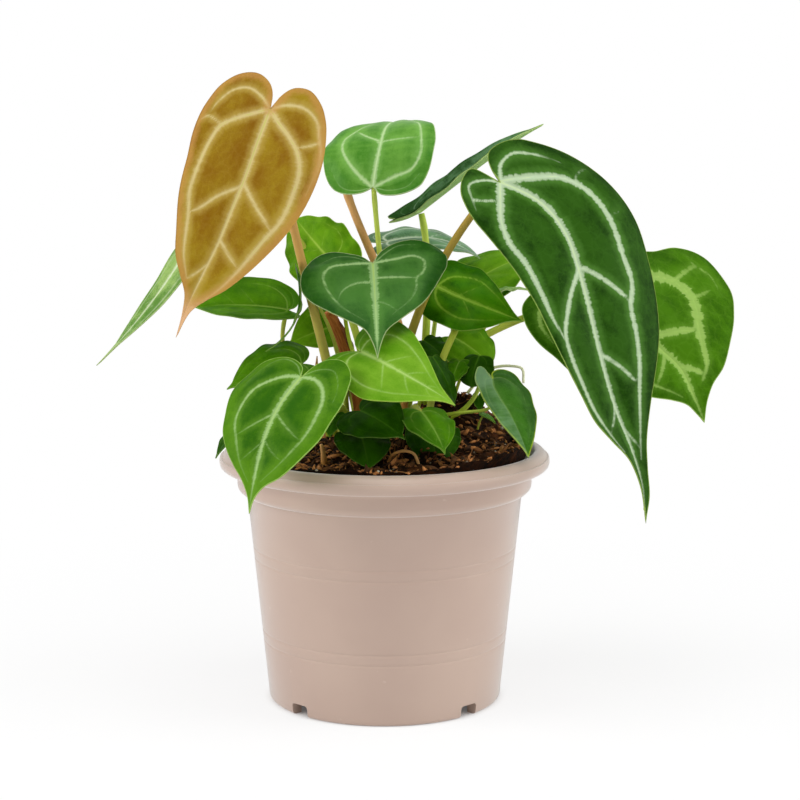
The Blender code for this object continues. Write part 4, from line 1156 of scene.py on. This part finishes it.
def stalk_radii(leaf):
    """Radius along a stalk: stout foot, slender middle and the slight swelling under the blade."""
    share = np.linspace(0, 1, STALK_STEPS + 1)
    swelling = 0.16 * np.exp(-((share - 0.93) / 0.035)**2)
    return leaf.stalk / 2 * (1.35 - 0.40 * share + swelling)


def make_leaf(leaf, blades, stalks):
    """Blade and stalk of a leaf of the frame."""
    make_blade(leaf, blades[leaf.palette], (leaf.name,))
    name = leaf.name.replace("leaf_", "stalk_")
    make_tube("fine_" + name, stalk_route(leaf), stalk_radii(leaf), STALK_SIDES,
              stalks[leaf.stalk_finish],
              () if leaf.joined else (name,))


def make_stem(material):
    """Stout brown stem with ringed scars, from the soil up to the bronze leaf's stalk."""
    foot = np.array([*STEM_FOOT, soil_height(*STEM_FOOT) - STEM_SUNK])
    top = np.array(STEM_TOP, float)
    pull = foot + np.array(STEM_RISE)
    push = top - unit(np.subtract(LEAVES[0].base, top)) * STEM_ARRIVAL + np.array(STEM_BEND)
    route = np.vstack([foot, bezier((foot, pull, push, top), STEM_STEPS)])
    share = np.linspace(0, 1, STEM_STEPS + 1)
    radii = STEM_RADII[0] + (STEM_RADII[1] - STEM_RADII[0]) * share
    radii = radii * (1 + SCAR_HEIGHT * np.maximum(0, np.sin(share * SCAR_PACE))**6)
    make_tube("fine_stem", route, radii, STEM_SIDES, material, ("stem",))


def make_bits(blades, stalks):
    """Loose ends between the stalks, and the two tiny leaves on the heap."""
    for name, kind, start, end, route in BITS:
        curve = with_start(np.array(route, float), BIT_STEPS)
        make_tube(name, curve, np.linspace(start, end, len(curve)), BIT_SIDES, stalks[kind])
    for leaf in SMALL_LEAVES:
        make_blade(leaf, blades[leaf.palette], ())


# ---------------------------------------------------------------- potting mix

SOIL_RINGS = 110
SOIL_SEGMENTS = 260
SOIL_BRIM = 53.9        # radius to which the mix fills the flare under the rim
SOIL_BRIM_RISE = 5.4
HEAP_X = 28.0
HEAP_Y = 8.0
HEAP_SPREAD = 8.5
HEAP_RISE = 8.5
ROOT_BALL_SETBACK = 2.0     # from the outside of the wall to the root ball
CRUMBLE = ((5.3, 0.5), (2.9, 0.45), (1.5, 0.35), (0.8, 0.22))    # size and height of its bumps

# A chip is a rough stretched octahedron with four more corners on its upper side.
CHIP_CORNERS = ((1, 0, 0), (-1, 0, 0), (0, 1, 0), (0, -1, 0), (0, 0, 1), (0, 0, -1),
                (0.6, 0.6, 0.3), (-0.6, 0.6, 0.3), (0.6, -0.6, 0.3), (-0.6, -0.6, 0.3))
CHIP_FACES = ((4, 6, 0), (4, 2, 6), (4, 7, 2), (4, 1, 7), (4, 9, 1), (4, 3, 9), (4, 8, 3), (4, 0, 8),
              (0, 6, 2), (2, 7, 1), (1, 9, 3), (3, 8, 0), (5, 0, 2), (5, 2, 1), (5, 1, 3), (5, 3, 0))
FIBRE_PLACES = 6
FIBRE_SIDES = 5
CHIP_INSET = 0.8       # from the brim to where the chips, the fibres and the fibres' ends may lie
FIBRE_INSET = 3.0
FIBRE_END_INSET = 0.5


def wall_radius(height):
    """Outer radius of the tapered wall."""
    return FOOT_RADIUS + WALL_TAPER * height


def mix_height(x, y):
    """Height of the crumbly top of the mix, with a small heap and a rise at the brim."""
    heap = HEAP_RISE * np.exp(-((x - HEAP_X)**2 + (y - HEAP_Y)**2) / (2 * HEAP_SPREAD**2))
    height = soil_height(x, y) + heap + SOIL_BRIM_RISE * (np.hypot(x, y) / SOIL_BRIM)**4 - 0.4
    rough = np.zeros_like(x)
    for size, rise in CRUMBLE:
        rough = rough + rise * (np.sin(x / size + 1.3 * np.sin(y / size * 0.8))
                                * np.cos(y / size + 1.7 * np.sin(x / size * 0.7)))
    return height + rough


def make_soil(material):
    """Root ball with a crumbly, mounded top."""
    floor = FLOOR_UNDERSIDE + FLOOR_THICKNESS + 0.3
    angles = np.arange(SOIL_SEGMENTS) * math.tau / SOIL_SEGMENTS
    points = []
    for height, flare in ((floor, 0.0), (83.0, 0.0), (85.5, 0.6)):
        radius = wall_radius(height) - ROOT_BALL_SETBACK + flare
        points += [(radius * math.cos(a), radius * math.sin(a), height) for a in angles]
    for ring in range(SOIL_RINGS, 0, -1):
        radius = SOIL_BRIM * ring / SOIL_RINGS
        x = radius * np.cos(angles)
        y = radius * np.sin(angles)
        points += list(zip(x, y, mix_height(x, y)))
    faces = closed_tube(ring_numbers(len(points) // SOIL_SEGMENTS, SOIL_SEGMENTS))
    add_piece("fine_soil", points, faces, material, ("soil",))


def scatter_spot(draw, reach):
    """Random place within a circle on the mix."""
    radius = reach * math.sqrt(draw.random())
    angle = math.tau * draw.random()
    return radius * math.cos(angle), radius * math.sin(angle)


def lumps(name, count, material, size, shade, seed, stretch):
    """Scattered chips lying on the mix."""
    draw = random.Random(seed)
    points = []
    faces = []
    shades = []
    for _ in range(count):
        x, y = scatter_spot(draw, SOIL_BRIM - CHIP_INSET)
        reach = size * (0.5 + draw.random()**2)
        turn = Matrix.Rotation(math.tau * draw.random(), 3, "Z")
        turn = turn @ Matrix.Rotation(draw.gauss(0, 0.7), 3, "X")
        turn = turn @ Matrix.Rotation(draw.gauss(0, 0.6), 3, "Y")
        centre = Vector((x, y, mix_height(x, y) + 0.15 * reach))
        shades += [shade * (0.1 + 1.1 * draw.random()**2.3)] * len(CHIP_CORNERS)
        faces += [[corner + len(points) for corner in face] for face in CHIP_FACES]
        for corner in CHIP_CORNERS:
            jitter = Vector([value * (0.75 + 0.5 * draw.random()) for value in corner])
            local = Vector([a * b * reach for a, b in zip(jitter, stretch)])
            points.append(tuple(centre + turn @ local))
    add_piece(name, points, faces, material, (), {"shade": shades})


def fibres(name, count, material, length, thickness, seed):
    """Scattered bent fibres and splinters lying on the mix."""
    draw = random.Random(seed)
    points = []
    faces = []
    shades = []
    places = np.arange(FIBRE_PLACES)
    radii = thickness * (0.35 + 0.65 * np.sin(math.pi * (places + 0.5) / FIBRE_PLACES))
    for _ in range(count):
        x, y = scatter_spot(draw, SOIL_BRIM - FIBRE_INSET)
        heading = math.tau * draw.random()
        reach = length * (0.4 + draw.random())
        bend = draw.gauss(0, 0.5)
        route = []
        for share in places / (FIBRE_PLACES - 1) - 0.5:
            px = x + math.cos(heading + bend * share) * reach * share
            py = y + math.sin(heading + bend * share) * reach * share
            if math.hypot(px, py) > SOIL_BRIM - FIBRE_END_INSET:
                px *= 0.95
                py *= 0.95
            lift = 0.35 + 0.8 * draw.random() * (1 - 4 * share * share)
            route.append((px, py, mix_height(px, py) + lift))
        tube_points, tube_faces, _ = tube(np.array(route), radii, FIBRE_SIDES)
        faces += [[corner + len(points) for corner in face] for face in tube_faces]
        points += [tuple(point) for point in tube_points]
        shades += [draw.random()] * len(tube_points)
    add_piece(name, points, faces, material, (), {"shade": shades})


# ---------------------------------------------------------------- pot

FOOT_RADIUS = 42.3
WALL_TAPER = 0.100
WALL_THICKNESS = 1.7
FLOOR_UNDERSIDE = 6.0
FLOOR_THICKNESS = 1.8
FOOT_RING_WIDTH = 4.0
COLLAR_HEIGHT = 76.4
COLLAR_RADIUS = 53.4
RIM_UNDERSIDE = 85.0
GROOVE_HEIGHTS = (22.4, 26.2, 53.0, 56.9)
GROOVE_DEPTH = 0.22
GROOVE_HALF_WIDTH = 0.55
NOTCH_WIDTH = 7.7
NOTCH_HEIGHT = 4.5
NOTCH_REACH = 8.0
NOTCH_CORNER = 1.2
NOTCH_ANGLES = (45.0, 135.0, 225.0, 315.0)
DRAIN_HOLE_RADIUS = 3.2
DRAIN_HOLE_CIRCLE = 27.0
DRAIN_POST_LENGTH = 8.0
POT_SEGMENTS = 160
CREASE_ANGLE = 42.0

# Stretches of the turned outline, as (outwards, up) from the foot's outside, from the wall at the
# collar's lower edge, from the collar's side at that edge and at the rim's underside, and from the
# rim's side at its underside and at its top
FOOT_EDGE = ((-FOOT_RING_WIDTH, 0.0), (-1.4, 0.0), (-0.6, 0.2), (-0.1, 0.7))
WALL_TOP = ((-0.05, -0.3), (0.2, 0.0))
COLLAR_STEP = ((-2.4, 0.25), (-1.4, 0.65), (-0.6, 1.35), (-0.15, 2.2), (0.0, 3.2))
RIM_FLARE = ((0.15, -2.0), (0.5, -0.7), (1.2, -0.1))
RIM_BEAD = ((-3.6, 0.0), (-2.2, 0.15), (-1.1, 0.6), (-0.35, 1.4), (0.0, 2.6), (-0.05, 3.6), (-0.3, 4.4))
RIM_TOP = ((-0.8, -2.6), (-1.45, -1.5), (-2.3, -0.65), (-3.3, -0.15), (-4.4, 0.0), (-5.3, -0.25),
           (-5.9, -0.9), (-6.2, -1.9))
# Section of a groove, as (height in half widths, depth as a share of the full one)
GROOVE_SECTION = ((-1.5, 0.0), (-1.0, 0.1), (-0.5, 0.7), (0.0, 1.0), (0.5, 0.7), (1.0, 0.1), (1.5, 0.0))


def shifted(points, radius, height):
    """Points of the outline, moved outwards and up."""
    return [(radius + out, height + up) for out, up in points]


def pot_profile():
    """Closed half section of the pot, as (radius, height), outside from foot to rim, then inside."""
    outside = shifted(FOOT_EDGE, FOOT_RADIUS, 0.0) + [(wall_radius(1.4), 1.4)]
    for height in GROOVE_HEIGHTS:
        for offset, depth in GROOVE_SECTION:
            level = height + offset * GROOVE_HALF_WIDTH
            outside.append((wall_radius(level) - depth * GROOVE_DEPTH, level))
    outside += shifted(WALL_TOP, wall_radius(COLLAR_HEIGHT), COLLAR_HEIGHT)
    outside += shifted(COLLAR_STEP, COLLAR_RADIUS, COLLAR_HEIGHT)
    outside += shifted(RIM_FLARE, COLLAR_RADIUS, RIM_UNDERSIDE)
    outside += shifted(RIM_BEAD, RIM_RADIUS, RIM_UNDERSIDE)
    outside += shifted(RIM_TOP, RIM_RADIUS, POT_HEIGHT)
    inside_top = wall_radius(RIM_UNDERSIDE) - WALL_THICKNESS
    floor_top = FLOOR_UNDERSIDE + FLOOR_THICKNESS
    inside = [(inside_top + 1.2, RIM_UNDERSIDE + 1.4), (inside_top, RIM_UNDERSIDE - 0.5),
              (wall_radius(floor_top + 1) - WALL_THICKNESS, floor_top + 1.0),
              (wall_radius(floor_top) - WALL_THICKNESS - 1.0, floor_top),
              (0.0, floor_top), (0.0, FLOOR_UNDERSIDE),
              (FOOT_RADIUS - FOOT_RING_WIDTH, FLOOR_UNDERSIDE)]
    return outside + inside


def round_axis(radius, turn, height):
    """Place in metres at a radius, a turn and a height about the pot's axis."""
    place = Vector((radius * math.cos(turn), radius * math.sin(turn), height))
    return place * 0.001 + Vector(POT_AXIS)


def add_notch(body, turn):
    """Block with rounded upper corners, lying through the foot ring at a turn."""
    made = bmesh.ops.create_cube(body, size=1.0)["verts"]
    bmesh.ops.scale(body, verts=made,
                    vec=Vector((NOTCH_REACH, NOTCH_WIDTH, 2 * NOTCH_HEIGHT)) * 0.001)
    edges = [edge for edge in {edge for vert in made for edge in vert.link_edges}
             if all(end.co.z > 0 for end in edge.verts)
             and edge.verts[0].co.y == edge.verts[1].co.y]
    rounded = bmesh.ops.bevel(body, geom=edges, offset=NOTCH_CORNER * 0.001, segments=4,
                              profile=0.5, affect="EDGES")["verts"]
    made = list({*[vert for vert in made if vert.is_valid], *rounded})
    bmesh.ops.rotate(body, verts=made, cent=(0, 0, 0), matrix=Matrix.Rotation(turn, 3, "Z"))
    bmesh.ops.translate(body, verts=made, vec=round_axis(FOOT_RADIUS - FOOT_RING_WIDTH / 2, turn, 0))


def add_drain_hole(body, turn):
    """Post through the floor at a turn."""
    radius = DRAIN_HOLE_RADIUS * 0.001
    made = bmesh.ops.create_cone(body, cap_ends=True, segments=28, radius1=radius, radius2=radius,
                                 depth=DRAIN_POST_LENGTH * 0.001)["verts"]
    height = FLOOR_UNDERSIDE + FLOOR_THICKNESS / 2
    bmesh.ops.translate(body, verts=made, vec=round_axis(DRAIN_HOLE_CIRCLE, turn, height))


def cutter(name, add_one):
    """Hidden object for a Boolean modifier, with one block or post at each notch's turn."""
    body = bmesh.new()
    for angle in NOTCH_ANGLES:
        add_one(body, math.radians(angle))
    return add_object(name, mesh_from(name, body))


def make_pot(material):
    """Pot with its rolled rim, collar, grooves, raised floor and notched foot ring."""
    points = []
    rings = []
    angles = [math.tau * (step + 0.5) / POT_SEGMENTS for step in range(POT_SEGMENTS)]
    for radius, height in pot_profile():
        if radius == 0.0:
            rings.append([len(points)] * POT_SEGMENTS)
            points.append((0.0, 0.0, height))
            continue
        rings.append(list(range(len(points), len(points) + POT_SEGMENTS)))
        points += [(radius * math.cos(angle), radius * math.sin(angle), height) for angle in angles]
    faces = []
    for lower, upper in zip(rings, rings[1:] + rings[:1]):
        faces += bridge(lower, upper)
    pot = add_piece("fine_pot", points, faces, material, ("pot",))
    tools = [cutter("notch_cutter", add_notch), cutter("hole_cutter", add_drain_hole)]
    for tool in tools:
        cut = pot.modifiers.new(tool.name, "BOOLEAN")
        cut.operation = "DIFFERENCE"
        cut.object = tool
    bpy.context.view_layer.update()
    evaluated = pot.evaluated_get(bpy.context.evaluated_depsgraph_get())
    finished = bpy.data.meshes.new_from_object(evaluated)
    pot.modifiers.clear()
    pot.data = finished
    for tool in tools:
        bpy.data.objects.remove(tool)
    finished.shade_smooth()
    finished.set_sharp_from_angle(angle=math.radians(CREASE_ANGLE))


# ---------------------------------------------------------------- room and camera

WORLD_LIGHT = 0.5
FLOOR_RADIUS = 2.5
FLOOR_FADE = (0.08, 0.32, 0.78, 1.0)    # how white the floor is seen: near, far, share near, share far
UNDER_POT = (0.039, 0.045, 0.1, 1.0)    # the same for the shade under the pot
LAMPS = (
    ("left_lamp", (-0.9, -0.25, 0.55), 0.7, 5.3),
    ("right_lamp", (0.9, -0.15, 0.5), 0.7, 4.5),
    ("top_lamp", (0.05, -0.35, 1.1), 0.8, 4.6),
)
LAMP_AIM = (0, 0, 0.12)
CAMERA_PLACE = (5.6, -750.0, 223.5)
CAMERA_PITCH = 8.65
CAMERA_LENS = 94.3


def make_world():
    """White surroundings, which light the plant at a plain level."""
    world = bpy.data.worlds.new("studio")
    world.use_nodes = True
    bpy.context.scene.world = world
    nodes = Nodes(world.node_tree)
    light = nodes.tree.nodes["Background"]
    nodes.put(light.inputs["Color"], (1, 1, 1, 1))
    nodes.put(light.inputs["Strength"], WORLD_LIGHT)
    white = nodes.node("ShaderNodeBackground", None, {"Color": (1, 1, 1, 1), "Strength": 1.0})
    surface = nodes.tree.nodes["World Output"].inputs["Surface"]
    nodes.put(surface, nodes.blend(nodes.seen_share(), Value(nodes, light.outputs[0]), white))


def floor_finish():
    """White paper that keeps the plant's shadow."""
    finish = Finish("floor_paper", Base_Color=(0.86, 0.86, 0.86, 1), Roughness=0.9)
    away = finish.node("ShaderNodeVectorMath", {"operation": "DISTANCE"},
                       {0: finish.place(), 1: POT_AXIS}, output=1)
    glow = finish.node("ShaderNodeEmission", None, {"Strength": 1.0})
    lit = finish.ramp(away, *FLOOR_FADE) * finish.ramp(away, *UNDER_POT)
    paper = Value(finish, finish.shader.outputs[0])
    surface = finish.tree.nodes["Material Output"].inputs["Surface"]
    finish.put(surface, finish.blend(finish.seen_share() * lit, paper, glow))
    return finish.material


def make_floor():
    body = bmesh.new()
    bmesh.ops.create_circle(body, cap_ends=True, segments=96, radius=FLOOR_RADIUS)
    floor = add_object("floor", mesh_from("floor", body))
    floor.data.materials.append(floor_finish())


def make_lamps():
    """Soft round lamps, aimed at the plant."""
    for name, place, size, power in LAMPS:
        data = bpy.data.lights.new(name, "AREA")
        data.shape = "DISK"
        data.size = size
        data.energy = power
        lamp = add_object(name, data)
        lamp.location = place
        aim = Vector(LAMP_AIM) - Vector(place)
        lamp.rotation_euler = aim.to_track_quat("-Z", "Y").to_euler()


def make_camera():
    """Camera a little above the leaves, looking slightly down."""
    data = bpy.data.cameras.new("camera")
    data.lens = CAMERA_LENS
    data.sensor_width = 36.0
    data.clip_end = 10.0
    camera = add_object("camera", data)
    camera.location = Vector(CAMERA_PLACE) * 0.001 + Vector(POT_AXIS)
    camera.rotation_euler = (math.radians(90 - CAMERA_PITCH), 0, 0)
    bpy.context.scene.camera = camera


# ---------------------------------------------------------------- all of it

def main():
    bpy.context.scene.view_settings.view_transform = "Standard"
    make_camera()
    make_world()
    make_floor()
    make_lamps()
    make_pot(pot_finish())
    make_soil(soil_finish())
    blades = {name: leaf_finish(palette) for name, palette in PALETTES.items()}
    stalks = {name: stalk_finish(name, *colours) for name, (_, *colours) in STALKS.items()}
    chip = crumb_finish("bark_chips", "140a05", "cc8850")
    lumps("bark_chips", 640, chip, 2.0, 1.0, 7, (1.3, 0.5, 0.35))
    lumps("fine_chips", 2400, chip, 0.9, 1.0, 8, (1.2, 0.6, 0.5))
    lumps("grit", 70, crumb_finish("grit", "6a5a4a", "d8ccb4"), 0.7, 0.9, 11, (1.0, 0.8, 0.7))
    fibres("root_fibres", 200, crumb_finish("root_fibres", "3a1c0e", "a87444"), 7.0, 0.22, 5)
    make_bits(blades, stalks)
    make_stem(bark_finish())
    make_blade(SHEATH, paper_finish(), ("sheath",))
    for leaf in LEAVES:
        make_leaf(leaf, blades, stalks)


main()
